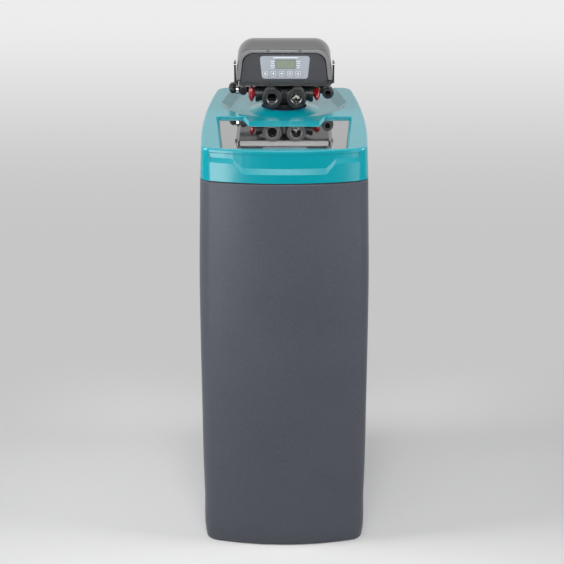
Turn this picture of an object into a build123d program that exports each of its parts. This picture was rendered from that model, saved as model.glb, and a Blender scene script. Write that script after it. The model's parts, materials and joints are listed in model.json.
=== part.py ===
# Cabinet water softener: a tall brine cabinet with the mineral tank inside it, a moulded top
# cover with a hinged salt lid, and a control valve with a bypass standing in a dish in the cover.
# Millimetres. +Z is up, the ports and the display face -Y, and the origin is the centre of the
# cabinet's footprint on the floor.
from build123d import *

import os
from math import acos, cos, pi, radians, sin, sqrt, tan

# Driving dimensions of the cabinet
HALF_WIDTH = 176.4          # widest half of the cover, at WIDEST_Y
WIDEST_Y = -70.0
FRONT_Y = -260.0            # middle of the bowed front
BACK_Y = 260.0
FRONT_CORNER = (170.5, -233.0)
BACK_CORNER = (154.0, 256.0)
CORNER_R = 29.0
SHELL_TOP = 828.5           # shoulder under the cover's skirt
SHELL_WALL = 5.0
NECK_TOP = 848.0
SKIRT_BOTTOM = 831.0
SKIRT_WALL = 3.5
SKIRT_DRAFT = 4.0           # how far each side leans in by DRAFT_TOP
DRAFT_TOP = 925.0
DECK_FRONT = 898.5
DECK_REAR = 903.0
LID_TOP = 895.5
LID_THICK = 4.0
LID_GAP = 1.2
LID_BACK = -2.0
LID_NOTCH = -59.0
HINGE_Y = 0.5
HINGE_Z = 891.0
HINGE_R = 4.0
HINGE_PIN_R = 1.5
COVER_SCREW_X = (-125, -45, 45, 125)
SCREW_R = 1.95              # holes for the cover's screws
DISH_FLOOR = 888.0
DISH_WALL = 3.0
COLLAR_TOP = 896.5

# How far the shell swells past the cover's outline: height, sideways, front and back
SHELL_SWELL = (
    (12.0, 0.6, 0.2),
    (97.0, 2.2, 0.8),
    (184.0, 4.0, 1.4),
    (320.0, 4.6, 2.0),
    (480.0, 5.2, 2.4),
    (620.0, 4.8, 2.0),
    (736.0, 2.2, 1.0),
    (828.5, 0.0, 0.0),
)
FOOT_ROUNDING = ((0.0, -3.4, -2.4), (3.0, -1.0, -0.7), (12.0, 0.6, 0.2))

# Mineral tank, 10 in by 35 in, standing behind the middle of the cabinet
TANK_Y = 115.0
TANK_R = 128.5
TANK_WALL = 4.0
TANK_TOP = 897.0
TANK_NECK_R = 45.0
TANK_BORE_R = 37.0
DOME_BASE = 796.0
DOME_TOP = 868.0
BOOT_TOP = 150.0
FLOOR_TOP = 7.0
RISER_R = 13.35

# Brine well and what it holds
WELL_X, WELL_Y = -100.0, -172.0
WELL_R = 50.0
WELL_WALL = 3.0
WELL_TOP = 800.0
GRID_Z = 120.0
ROD_X = WELL_X + 18.0
PICKUP_X = WELL_X - 20.0
FLOAT_Z = 420.0
BRINE_TUBE_R = 4.75
OVERFLOW_X, OVERFLOW_Y, OVERFLOW_Z = 118.0, 278.0, 740.0

# Control valve
PORT_Z = 933.5
PORT_X = 26.2
PORT_FACE_Y = 31.0
PORT_BORE_R = 10.5
PIPE_SEAT_Y = 46.0           # how far back a pipe reaches into a tail
TAIL_WAIST_R = 9.4           # the tails' bore behind the pipe's seat
ROTOR_Y = 78.0
ROTOR_R = 12.4
BARREL_R = 16.0
FITTING_Y = 118.0
FITTING_Z = 932.0
ELBOW_X = -113.0
DRAIN_X = 96.0
DRAIN_TUBE_R = 6.4
TOWER_TOP = 963.0
HANDLE_X = 71.4
OUTLET_TURN = -55.0         # how far the outlet's handle stands from upright

# Valve head
HEAD_HALF = 107.0
HOOD_HALF = 104.2
HEAD_FRONT = 48.0
HEAD_BACK = 212.0
INLET_Z = 963.5
TRAY_BOTTOM = 957.0
HOOD_SEAT = 969.0
HOOD_PROUD = 2.6            # how far the hood's front stands before the panel
HOOD_WALL = 2.5
PANEL_TILT = 10.0
PANEL_Y = 53.0
DISPLAY_V = 33.4            # the display's and the buttons' middles, up the panel
BUTTON_V = 13.0
BUTTON_PITCH = 17.8
BUTTON_FIRST_X = -41.2
BUTTON_SIZE = 12.5
BUTTON_NAMES = ("menu_button", "up_button", "down_button", "set_button", "regenerate_button")

# The tray's screws: x, y and the height that each head sits on
TRAY_SCREWS = ((-36, 128.5, 963), (36, 128.5, 963), (-31, 106, 960), (31, 106, 960))

# Gear train that lifts the piston
MODULE = 1.25
GEAR_TEETH = 48
PINION_TEETH = 16
GEAR_Z = 998.0
RACK_PITCH_X = 8.0
PRESSURE_ANGLE = radians(20.0)
BACKLASH = 0.22
GEAR_R = GEAR_TEETH * MODULE / 2
PINION_R = PINION_TEETH * MODULE / 2
GEAR_X = RACK_PITCH_X + PINION_R
MOTOR_X = GEAR_X + GEAR_R + PINION_R
GEAR_AXLE_R = 3.0

SHAFT_CLEARANCE = 0.05


def box(x0, x1, y0, y1, z0, z1):
    """A plain block between two corners."""
    middle = ((x0 + x1) / 2, (y0 + y1) / 2, (z0 + z1) / 2)
    return Pos(*middle) * Box(x1 - x0, y1 - y0, z1 - z0)


def round_z(x, y, z0, z1, r):
    """A cylinder that stands up."""
    return Pos(x, y, (z0 + z1) / 2) * Cylinder(r, z1 - z0)


def round_y(x, z, y0, y1, r):
    """A cylinder that lies front to back."""
    return Pos(x, (y0 + y1) / 2, z) * Rot(90, 0, 0) * Cylinder(r, y1 - y0)


def round_x(y, z, x0, x1, r):
    """A cylinder that lies side to side."""
    return Pos((x0 + x1) / 2, y, z) * Rot(0, 90, 0) * Cylinder(r, x1 - x0)


def both_sides(shape):
    """The shape and its mirror image across the middle."""
    return shape + mirror(shape, Plane.YZ)


def save(shape, name):
    """Writes one sub-part."""
    export_step(shape, f"parts/{name}.step")


def side_arc(x_widest, y_end, x_end):
    """An arc that leaves the widest point straight back and ends at (x_end, y_end)."""
    run = y_end - WIDEST_Y
    drop = x_widest - x_end
    radius = (run * run + drop * drop) / (2 * drop)
    y_mid = WIDEST_Y + run / 2
    x_mid = x_widest - radius + sqrt(radius * radius - (run / 2) ** 2)
    return ThreePointArc((x_widest, WIDEST_Y), (x_mid, y_mid), (x_end, y_end))


def outline(z, sideways=0.0, endways=0.0):
    """The barrel-shaped plan of the cabinet at height z, grown by the two amounts."""
    fx, fy = FRONT_CORNER[0] + sideways, FRONT_CORNER[1] - endways
    bx, by = BACK_CORNER[0] + sideways, BACK_CORNER[1] + endways
    widest = HALF_WIDTH + sideways
    front = ThreePointArc((-fx, fy), (0, FRONT_Y - endways), (fx, fy))
    back = ThreePointArc((bx, by), (0, BACK_Y + endways), (-bx, by))
    right = [side_arc(widest, fy, fx), side_arc(widest, by, bx)]
    left = [mirror(edge, Plane.YZ) for edge in right]
    face = make_face([front, back, *right, *left])
    corners = [v for v in face.vertices() if abs(v.Y) > abs(WIDEST_Y) + 1]
    radius = max(4.0, CORNER_R + min(sideways, endways))
    return Pos(0, 0, z) * fillet(corners, radius)


def column(z0, z1, inset=0.0):
    """The cover's outline, drawn in by inset, between two heights."""
    return extrude(outline(z0, -inset, -inset), z1 - z0)


def cabinet_shell():
    """The blow-moulded brine cabinet, swollen at the middle and drawn in at the foot."""
    swell = [outline(z, side, end) for z, side, end in SHELL_SWELL]
    foot = [outline(z, side, end) for z, side, end in FOOT_ROUNDING]
    outside = loft(swell) + loft(foot, ruled=True)
    inside_levels = [
        (FLOOR_TOP, -4.0, -5.0),
        *((z, side, end) for z, side, end in SHELL_SWELL[1:-1]),
        (SHELL_TOP - 7, 0.2, 0.2),
    ]
    inside = loft([outline(z, s - SHELL_WALL, e - SHELL_WALL) for z, s, e in inside_levels])
    neck_inset = SKIRT_WALL + 1.0
    neck = column(SHELL_TOP - 4, NECK_TOP, neck_inset)
    mouth = column(SHELL_TOP - 8, NECK_TOP + 1, neck_inset + 4.5)
    shell = outside + neck - inside - mouth
    overflow_hole = round_y(OVERFLOW_X, OVERFLOW_Z, 235, 275, 10.2)
    screw_holes = Compound([round_y(x, 841, 235, 258, SCREW_R) for x in COVER_SCREW_X])
    return shell - overflow_hole - screw_holes


def pocket_face(z, gap):
    """The salt lid's outline with a gap round it: wide at the back, stepped in behind the ports."""
    front, back, notch = -233.0 - gap, LID_BACK + gap, LID_NOTCH + gap
    points = [
        (-125.0 - gap, front),
        (125.0 + gap, front),
        (140.2 + gap, back),
        (90.5 - 0.77 * gap, back),
        (75.5 - 0.77 * gap, notch),
        (0.77 * gap - 75.5, notch),
        (0.77 * gap - 90.5, back),
        (-140.2 - gap, back),
    ]
    face = make_face(Polyline(*points, close=True))
    front_corners = [v for v in face.vertices() if v.Y < front + 1]
    return Pos(0, 0, z) * fillet(front_corners, 7.0)


def dish_face(z, inset):
    """The outline of the dish round the valve: a straight front, round sides, open at the back."""
    r = 141.0 - inset
    centre_y = 125.0
    front_y = 8.0 + inset * 0.35
    front_x = sqrt(r * r - (centre_y - front_y) ** 2)
    angle = (acos(front_x / r)) / 2
    mid = (r * cos(angle), centre_y - r * sin(angle))
    back_x = 114.0 - inset
    run = BACK_Y + 12
    right = [
        ThreePointArc((front_x, front_y), mid, (r, centre_y)),
        Line((r, centre_y), (back_x, run)),
    ]
    left = [mirror(edge, Plane.YZ) for edge in right]
    ends = [Line((-front_x, front_y), (front_x, front_y)), Line((back_x, run), (-back_x, run))]
    return Pos(0, 0, z) * make_face([*right, *left, *ends])


def front_surface_y(x):
    """How far forward the bowed front stands at x."""
    bow = FRONT_CORNER[1] - FRONT_Y
    return FRONT_Y + bow * (x / FRONT_CORNER[0]) ** 2


def front_recess():
    """The recess in the front band: its sloping lower edge steps down between two diagonals."""
    stations = [(-152, 867), (-103, 867), (-85, 848), (85, 848), (103, 867), (152, 867)]
    cutter = []
    for (x0, z0), (x1, z1) in zip(stations, stations[1:]):
        parts = max(1, round(abs(x1 - x0) / 17))
        sections = []
        for i in range(parts + 1):
            x = x0 + (x1 - x0) * i / parts
            low = z0 + (z1 - z0) * i / parts
            y = front_surface_y(x)
            profile = Polyline(
                (y - 6, low - 22),
                (y + 3.5, low + 13),
                (y + 3.5, 889.5),
                (y + 1.9, 890.7),
                (y + 1.9, 920),
                (y - 6, 920),
                close=True,
            )
            sections.append(Pos(x, 0, 0) * (Plane.YZ * make_face(profile)))
        cutter.append(loft(sections, ruled=True))
    return Compound(cutter)


def cone_z(height, z0, r0, r1):
    """A cone about the tank's axis that stands on z0."""
    return Pos(0, TANK_Y, z0 + height / 2) * Cone(r0, r1, height)


def top_cover():
    """The glossy moulded cover: a skirt, a deck with the lid's pocket, and the valve's dish."""
    slope = (DECK_REAR - DECK_FRONT) / (BACK_Y - FRONT_Y)
    deck_mid = (DECK_REAR + DECK_FRONT) / 2
    above = Pos(0, 0, deck_mid) * Rot(slope * 180 / pi, 0, 0) * Pos(0, 0, 50) * Box(500, 700, 100)

    def leaning(z0, z1, wall):
        levels = []
        for z in (z0, z1):
            lean = (z - SKIRT_BOTTOM) / (DRAFT_TOP - SKIRT_BOTTOM)
            levels.append(outline(z, -SKIRT_DRAFT * lean - wall, -1.5 * lean - wall))
        return loft(levels, ruled=True)

    outer = leaning(SKIRT_BOTTOM, DRAFT_TOP, 0.0) - above
    outer = fillet(outer.faces().sort_by(Axis.Z)[-1].edges(), 5.0)

    dish = loft([dish_face(DISH_FLOOR, 21), dish_face(911, -10)], ruled=True)
    dish_block = loft([dish_face(DISH_FLOOR - DISH_WALL, 18), dish_face(911, -13)], ruled=True)
    ledge = LID_TOP - LID_THICK - 0.3
    pocket = extrude(pocket_face(ledge, LID_GAP), 40)
    bevelled_rim = loft([pocket_face(LID_TOP, LID_GAP), pocket_face(LID_TOP + 10, 11)], ruled=True)
    pocket_block = extrude(pocket_face(ledge - 4, 4.2), 30)
    hinge_block = both_sides(box(83, 149, -12, 9.5, 882.5, 910))
    hinge_slot = both_sides(
        box(89.3, 141.6, -5.5, 6.2, 885.5, 910) + box(87.2, 90, -5.5, 6.6, 894.6, 910)
    )
    ramp_tilt = Rot(10, 0, 0) * Pos(0, 0, 25) * Box(300, 200, 50)
    ramp = box(-88, 88, -64, -31, 880, 910) & (Pos(0, LID_NOTCH, LID_TOP + 0.3) * ramp_tilt)

    cavity = leaning(SKIRT_BOTTOM - 1, 905, SKIRT_WALL) - (Pos(0, 0, -SKIRT_WALL) * above)
    recess = front_recess()
    cavity = cavity - pocket_block - dish_block - hinge_block - (Pos(0, 0, -3) * ramp)
    cavity = cavity - (Pos(0, 3, 0) * recess)
    shelf = column(NECK_TOP + 0.4, NECK_TOP + 3.4, 3.0) - column(NECK_TOP, NECK_TOP + 4, 9.0)
    opening = extrude(pocket_face(860, -9), 50)

    collar = cone_z(COLLAR_TOP - DISH_FLOOR, DISH_FLOOR, 78, 51)
    under_collar = cone_z(COLLAR_TOP - DISH_FLOOR, DISH_FLOOR - DISH_WALL, 78, 51)
    neck_hole = round_z(0, TANK_Y, 870, 900, TANK_NECK_R + 4.5)
    tube_x, tube_y = BRINE_ROUTE[2][0], BRINE_ROUTE[2][1]
    tube_hole = round_z(tube_x, tube_y, 870, 900, BRINE_TUBE_R + 2.0)
    pin_holes = both_sides(round_x(HINGE_Y, HINGE_Z, 86, 145.5, HINGE_PIN_R + 0.02))
    screw_holes = Compound([round_y(x, 841, 250, 270, SCREW_R) for x in COVER_SCREW_X])

    cover = outer - cavity + shelf - dish + collar - under_collar
    cover = cover - pocket - bevelled_rim - ramp - opening - hinge_slot - recess
    return cover - neck_hole - tube_hole - pin_holes - screw_holes


def salt_lid():
    """The smoked lid plate with a stiffening rib below and a hinge barrel at each back corner."""
    under = LID_TOP - LID_THICK
    plate = extrude(pocket_face(under, 0.0), LID_THICK)
    plate = fillet(plate.faces().sort_by(Axis.Z)[-1].edges(), 0.8)
    rib = extrude(pocket_face(under - 8, -11), 8) - extrude(pocket_face(under - 9, -14), 10)
    barrels = both_sides(round_x(HINGE_Y, HINGE_Z, 93, 139, HINGE_R))
    bores = both_sides(round_x(HINGE_Y, HINGE_Z, 90, 142, HINGE_PIN_R + SHAFT_CLEARANCE))
    return plate + rib + barrels - bores


def lid_hinge_pins():
    """Two pins, each held by the cover at its ends and running through the lid's barrel."""
    return both_sides(round_x(HINGE_Y, HINGE_Z, 86.5, 145, HINGE_PIN_R))


def cover_screws():
    """Pan-head screws through the back of the skirt."""
    pieces = []
    for x in COVER_SCREW_X:
        wall_y = BACK_Y + 0.1 - 4.0 * (x / BACK_CORNER[0]) ** 2
        shank = round_y(x, 841, wall_y - 12, wall_y + 0.4, SCREW_R - 0.05)
        head = round_y(x, 841, wall_y, wall_y + 2.6, 4.2)
        slot = box(x - 3, x + 3, wall_y + 1.7, wall_y + 3, 840.4, 841.6)
        cross = box(x - 0.6, x + 0.6, wall_y + 1.7, wall_y + 3, 838, 844)
        pieces.append(head + shank - slot - cross)
    return Compound(pieces)


def overflow_elbow():
    """The overflow's elbow on the back of the shell, turned down to a hose barb."""
    x, y, z = OVERFLOW_X, OVERFLOW_Y, OVERFLOW_Z
    flange = round_y(x, z, 259.4, 263, 17)
    shank = round_y(x, z, 238, 260, 10)
    arm = round_y(x, z, 262, y, 10)
    down = round_z(x, y, z - 34, z, 9)
    barbs = [round_z(x, y, z - drop, z - drop + 3, 10) for drop in (32, 25, 18)]
    body = flange + shank + arm + Pos(x, y, z) * Sphere(10) + down + barbs
    passage = round_y(x, z, 235, y, 7) + round_z(x, y, z - 40, z, 7) + Pos(x, y, z) * Sphere(7)
    return body - passage


def overflow_nut():
    """The nut that clamps the overflow from inside the shell."""
    hexagon = Pos(OVERFLOW_X, 252.3, OVERFLOW_Z) * Rot(90, 0, 0) * extrude(RegularPolygon(17, 6), 7)
    return hexagon - round_y(OVERFLOW_X, OVERFLOW_Z, 230, 260, 10.15)


def dome_height(r, grown=0.0):
    """Height of the tank's dome at radius r: a quarter ellipse."""
    return DOME_BASE + (DOME_TOP - DOME_BASE + grown) * sqrt(1 - (r / (TANK_R + grown)) ** 2)


def vessel(grown, foot):
    """The tank's outer form: a dished foot, a straight side and a dome, all grown outwards."""
    r = TANK_R + grown
    dome_top_r = TANK_NECK_R - 4
    middle = 0.72 * r
    dome = ThreePointArc(
        (r, 0, DOME_BASE),
        (middle, 0, dome_height(middle, grown)),
        (dome_top_r, 0, dome_height(dome_top_r, grown)),
    )
    top = dome @ 1
    wall = Polyline((top.X, 0, top.Z), (0, 0, top.Z), (0, 0, foot), (r - 45, 0, foot))
    curl = ThreePointArc((r - 45, 0, foot), (r - 13, 0, foot + 16), (r, 0, foot + 60))
    rise = Line((r, 0, foot + 60), (r, 0, DOME_BASE))
    return Pos(0, TANK_Y, 0) * revolve(make_face([dome, *wall.edges(), curl, rise]), Axis.Z, 360)


def turned(points):
    """A solid of revolution about the tank's axis from a closed (radius, height) outline."""
    face = make_face(Polyline(*[(r, 0, z) for r, z in points], close=True))
    return Pos(0, TANK_Y, 0) * revolve(face, Axis.Z, 360)


def resin_tank():
    """The wound glass-fibre pressure vessel: a cup, a domed shoulder and a threaded neck."""
    foot = FLOOR_TOP + 8
    tank = vessel(0, foot) - vessel(-TANK_WALL, foot + TANK_WALL)
    tank = tank + round_z(0, TANK_Y, DOME_TOP - 12, TANK_TOP, TANK_NECK_R)
    return tank - round_z(0, TANK_Y, DOME_TOP - 60, TANK_TOP + 1, TANK_BORE_R)


def tank_boot():
    """The moulded foot that the tank stands in."""
    cup = round_z(0, TANK_Y, FLOOR_TOP, BOOT_TOP, TANK_R + 3.2)
    lower = turned(
        [
            (TANK_R - 41, FLOOR_TOP - 1),
            (TANK_R + 8, FLOOR_TOP - 1),
            (TANK_R + 8, FLOOR_TOP + 30),
        ]
    )
    return cup - vessel(0.2, FLOOR_TOP + 8) - lower


def resin_bed():
    """The bed of resin beads round the riser and its lower strainer."""
    beads = vessel(-TANK_WALL - 0.3, FLOOR_TOP + 12.4)
    beads = beads & round_z(0, TANK_Y, 0, 600, TANK_R)
    strainer_room = round_z(0, TANK_Y, 0, 71, 28)
    return beads - strainer_room - round_z(0, TANK_Y, 50, 601, RISER_R + 0.5)


def riser_tube():
    """The pipe down the middle of the tank."""
    return round_z(0, TANK_Y, 60, 899, RISER_R) - round_z(0, TANK_Y, 59, 900, RISER_R - 2)


def slotted_cage(z0, z1, r_out, r_in, slots):
    """A round strainer with upright slots and a closed floor."""
    cage = round_z(0, TANK_Y, z0, z1, r_out) - round_z(0, TANK_Y, z0 + 3, z1 + 1, r_in)
    for i in range(slots):
        turn = Rot(0, 0, 360 * i / slots)
        slot = Pos((r_out + r_in) / 2, 0, (z0 + z1) / 2) * Box(r_out - r_in + 3, 1.6, z1 - z0 - 14)
        cage = cage - Pos(0, TANK_Y, 0) * turn * slot
    return cage


def lower_basket():
    """The strainer at the foot of the riser."""
    cage = slotted_cage(24, 62, 27, 23, 18)
    lid = round_z(0, TANK_Y, 58, 70, 27) - round_z(0, TANK_Y, 50, 80, RISER_R + SHAFT_CLEARANCE)
    return cage + lid - round_z(0, TANK_Y, 50, 61, 22)


def upper_basket():
    """The strainer that hangs under the valve, round the riser."""
    cage = slotted_cage(840, 876, 30, 26, 18)
    collar = round_z(0, TANK_Y, 870, 881, 30)
    hole = round_z(0, TANK_Y, 830, 890, RISER_R + 0.4)
    return cage + collar - round_z(0, TANK_Y, 843, 874, 26) - hole


def brine_well():
    """The upright tube in the front corner, slotted near its foot."""
    tube = round_z(WELL_X, WELL_Y, FLOOR_TOP, WELL_TOP, WELL_R)
    tube = tube - round_z(WELL_X, WELL_Y, FLOOR_TOP - 1, WELL_TOP + 1, WELL_R - WELL_WALL)
    for level in range(6):
        z = 30 + 14 * level
        for turn in (0, 60, 120):
            slot = Pos(WELL_X, WELL_Y, z) * Rot(0, 0, turn) * Box(120, 26, 3)
            tube = tube - slot
    outlet = round_y(WELL_X, 720, WELL_Y, WELL_Y + 60, 7.2)
    return tube - outlet


def brine_well_cap():
    """The cap over the brine well, with a turned-down rim."""
    disc = round_z(WELL_X, WELL_Y, WELL_TOP + 0.3, WELL_TOP + 4, WELL_R + 3)
    rim = round_z(WELL_X, WELL_Y, WELL_TOP - 14, WELL_TOP + 1, WELL_R + 3)
    rim = rim - round_z(WELL_X, WELL_Y, WELL_TOP - 15, WELL_TOP + 0.3, WELL_R + 0.4)
    pull = box(WELL_X - 14, WELL_X + 14, WELL_Y - 2, WELL_Y + 2, WELL_TOP + 3.5, WELL_TOP + 13)
    return disc + rim + fillet(pull.edges().filter_by(Axis.Y), 3)


def salt_grid():
    """The slotted platform that keeps the salt above the water."""
    plate = extrude(outline(GRID_Z, -9.5, -9.5), 5) & box(-200, 200, -300, 40, 100, 140)
    plate = plate - round_z(0, TANK_Y, 100, 140, TANK_R + 6)
    plate = plate - round_z(WELL_X, WELL_Y, 100, 140, WELL_R + 1.5)
    for row in range(4):
        y = -215 + 46 * row
        for spot in range(9):
            x = -128 + 32 * spot
            off_well = sqrt((x - WELL_X) ** 2 + (y - WELL_Y) ** 2) > WELL_R + 22
            off_tank = sqrt(x * x + (y - TANK_Y) ** 2) > TANK_R + 28
            if off_well and off_tank:
                plate = plate - box(x - 3, x + 3, y - 16, y + 16, 110, 130)
    return plate


def grid_legs():
    """Four tube legs under the grid."""
    spots = ((145, -195), (0, -220), (148, 0), (-148, 0))
    legs = []
    for x, y in spots:
        legs.append(round_z(x, y, FLOOR_TOP, GRID_Z, 8) - round_z(x, y, 0, GRID_Z - 4, 6))
    return Compound(legs)


def brine_valve():
    """The float-shut brine valve on its bracket under the well's outlet."""
    body = round_z(PICKUP_X, WELL_Y, 650, 700, 11) + round_z(ROD_X, WELL_Y, 655, 690, 9)
    bridge = box(PICKUP_X, ROD_X, WELL_Y - 7, WELL_Y + 7, 662, 684)
    post = round_z(WELL_X, WELL_Y, 680, 728, 8)
    outlet = round_y(WELL_X, 720, WELL_Y, WELL_Y + 62, 6.8)
    washer = round_y(WELL_X, 720, WELL_Y + 50.6, WELL_Y + 56, 11)
    body = body + bridge + post + outlet + washer
    bores = round_z(PICKUP_X, WELL_Y, 640, 680, 6.05) + round_z(ROD_X, WELL_Y, 640, 700, 2.57)
    return body - bores - round_y(WELL_X, 720, WELL_Y + 30, WELL_Y + 70, BRINE_TUBE_R + 0.05)


def brine_pickup_tube():
    """The pipe from the brine valve down to the foot of the well."""
    return round_z(PICKUP_X, WELL_Y, 58, 679, 6) - round_z(PICKUP_X, WELL_Y, 50, 690, 4.5)


def air_check():
    """The air-check cage on the foot of the pickup tube."""
    body = round_z(PICKUP_X, WELL_Y, 16, 74, 13) - round_z(PICKUP_X, WELL_Y, 19, 58, 10.5)
    body = body - round_z(PICKUP_X, WELL_Y, 57, 80, 6.05)
    for turn in (0, 45, 90, 135):
        body = body - Pos(PICKUP_X, WELL_Y, 38) * Rot(0, 0, turn) * Box(40, 4, 26)
    return body


def float_rod():
    """The rod that carries the float and shuts the brine valve."""
    return round_z(ROD_X, WELL_Y, FLOAT_Z - 40, 668, 2.5)


def float_body():
    """The drum-shaped float on its rod."""
    drum = fillet(round_z(ROD_X, WELL_Y, FLOAT_Z, FLOAT_Z + 62, 21).edges(), 5)
    return drum - round_z(ROD_X, WELL_Y, FLOAT_Z - 1, FLOAT_Z + 63, 2.5)


# The brine line's corners, from the valve's elbow to the brine well
BRINE_ROUTE = (
    (ELBOW_X, 138.0, FITTING_Z),
    (ELBOW_X, 192.0, FITTING_Z),
    (-48.0, 192.0, FITTING_Z),
    (-48.0, 192.0, 860.0),
    (-112.0, 150.0, 856.0),
    (-118.0, 60.0, 836.0),
    (-110.0, -14.0, 788.0),
    (WELL_X - 2, -58.0, 744.0),
    (WELL_X, -84.0, 720.0),
    (WELL_X, WELL_Y + 40, 720.0),
)


def bend_radii(route):
    """The largest radius that each corner's two runs leave room for, at most 45 mm."""
    radii = []
    points = [Vector(*p) for p in route]
    for before, corner, after in zip(points, points[1:], points[2:]):
        first, second = corner - before, after - corner
        turn = radians(first.get_angle(second))
        shorter = min(first.length, second.length)
        radii.append(min(45.0, 0.45 * shorter / tan(turn / 2)))
    return radii


def brine_line():
    """The plastic tube from the brine well up through the dish to the valve's elbow."""
    path = FilletPolyline(*BRINE_ROUTE, radius=bend_radii(BRINE_ROUTE))
    start = Plane(origin=path @ 0, z_dir=path % 0)
    return sweep(start * Circle(BRINE_TUBE_R), path=path)


def brine_elbow():
    """The elbow on the valve's left side: a stub, a round body and an outlet to the back."""
    stub = round_x(FITTING_Y, FITTING_Z, ELBOW_X, -46, 7)
    shoulder = round_x(FITTING_Y, FITTING_Z, -60, -54, 9.5)
    collar = round_x(FITTING_Y, FITTING_Z, -107, -99.5, 9)
    boss = round_y(-90, FITTING_Z, 101, FITTING_Y, 8.5) - round_y(-90, FITTING_Z, 100, 103, 6)
    plug = round_y(-90, FITTING_Z, 101.5, 104, 3)
    knee = Pos(ELBOW_X, FITTING_Y, FITTING_Z) * Sphere(8.4)
    outlet = round_y(ELBOW_X, FITTING_Z, FITTING_Y, 136, 7)
    body = stub + shoulder + collar + boss + plug + knee + outlet
    across = round_x(FITTING_Y, FITTING_Z, ELBOW_X, -40, 3.5)
    return body - across - round_y(ELBOW_X, FITTING_Z, FITTING_Y, 137, 3.5)


def brine_elbow_clip():
    """The steel clip that locks the elbow: an arch over its collar with two short legs."""
    x0, x1 = -105.7, -101.2
    inner, outer = 9.1, 10.9
    ring = round_x(FITTING_Y, FITTING_Z, x0, x1, outer)
    ring = ring - round_x(FITTING_Y, FITTING_Z, x0 - 1, x1 + 1, inner)
    arch = ring & box(x0, x1, FITTING_Y - 15, FITTING_Y + 15, FITTING_Z, FITTING_Z + 20)
    near = box(x0, x1, FITTING_Y - outer, FITTING_Y - inner, FITTING_Z - 5, FITTING_Z)
    far = box(x0, x1, FITTING_Y + inner, FITTING_Y + outer, FITTING_Z - 5, FITTING_Z)
    return arch + near + far


def ribbed_nut(r_body, r_rib, length, ribs):
    """A round nut with grip ribs, about Z from 0 to its length."""
    nut = Pos(0, 0, length / 2) * Cylinder(r_body, length)
    nut = chamfer(nut.edges(), 1.0)
    rib = Pos((r_body + r_rib) / 2 - 0.5, 0, length / 2) * Box(r_rib - r_body + 1, 2.2, length - 4)
    for i in range(ribs):
        nut = nut + Rot(0, 0, 360 * i / ribs) * rib
    return nut


def facing_front(x, y, z):
    """Puts a shape's Z axis along -Y, with its base at y."""
    return Pos(x, y, z) * Rot(90, 0, 0)


def brine_elbow_nut():
    """The compression nut that holds the brine line in its elbow."""
    nut = Pos(ELBOW_X, 131, FITTING_Z) * Rot(-90, 0, 0) * ribbed_nut(9.2, 10.2, 18, 12)
    tube_bore = round_y(ELBOW_X, FITTING_Z, 136, 155, BRINE_TUBE_R + 0.05)
    return nut - round_y(ELBOW_X, FITTING_Z, 130, 137.5, 7.05) - tube_bore


def valve_body():
    """The valve's housing: flange and neck on the tank, piston tower, and side bosses."""
    neck = round_z(0, TANK_Y, 881, TANK_TOP, TANK_BORE_R - 0.2)
    flange = fillet(round_z(0, TANK_Y, TANK_TOP, 909, 46).edges(), 2)
    housing = fillet(box(-42, 42, 99, 158, 905, 951).edges().filter_by(Axis.Z), 9)
    tower = round_z(0, TANK_Y, 905, TOWER_TOP, 25)
    ports = both_sides(round_y(PORT_X, PORT_Z, 94.2, 120, 17.5))
    bosses = both_sides(round_x(FITTING_Y, FITTING_Z, 0, 52, 14))
    ribs = [box(x - 1.5, x + 1.5, 150, 162, 907, 940) for x in (-30, -10, 10, 30)]
    posts = [round_z(x, y, 950, TRAY_BOTTOM, 5) for x, y, seat in TRAY_SCREWS]
    body = neck + flange + housing + tower + ports + bosses + ribs + posts
    plug_bores = both_sides(round_y(PORT_X, PORT_Z, 90, 98.3, 15.1))
    flow_bores = both_sides(round_y(PORT_X, PORT_Z, 98, 115, 9))
    riser_bore = round_z(0, TANK_Y, 880, 903, RISER_R + SHAFT_CLEARANCE)
    piston_bore = round_z(0, TANK_Y, 904, TOWER_TOP - 4, 19)
    rod_bore = round_z(0, TANK_Y, TOWER_TOP - 5, TOWER_TOP + 1, 4.0 + SHAFT_CLEARANCE)
    brine_bore = round_x(FITTING_Y, FITTING_Z, -53, -45.9, 7.05)
    drain_bore = round_x(FITTING_Y, FITTING_Z, 45.9, 53, 9.05)
    screw_holes = [round_z(x, y, 940, 958, 1.75) for x, y, seat in TRAY_SCREWS]
    bypass_room = box(-70, 70, 60, 94.2, 910, 970)
    body = body - bypass_room - plug_bores - flow_bores - riser_bore - piston_bore - rod_bore
    return body - brine_bore - drain_bore - screw_holes


def seal_stack():
    """Spacers and seals stacked in the piston's bore."""
    stack = round_z(0, TANK_Y, 904.2, TOWER_TOP - 4.2, 18.9) - round_z(0, TANK_Y, 900, 965, 12.45)
    for i in range(5):
        z = 910 + 10 * i
        groove = round_z(0, TANK_Y, z, z + 5.5, 20) - round_z(0, TANK_Y, z - 1, z + 6.5, 16.5)
        stack = stack - groove
        for turn in (0, 60, 120):
            stack = stack - Pos(0, TANK_Y, z + 2.75) * Rot(0, 0, turn) * Box(60, 5, 2.6)
    return stack


def piston():
    """The grooved piston."""
    drum = round_z(0, TANK_Y, 908, 936, 12.4)
    waist = round_z(0, TANK_Y, 917, 927, 14) - round_z(0, TANK_Y, 916, 928, 9)
    return drum - waist - round_z(0, TANK_Y, 930, 940, 4.0)


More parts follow.
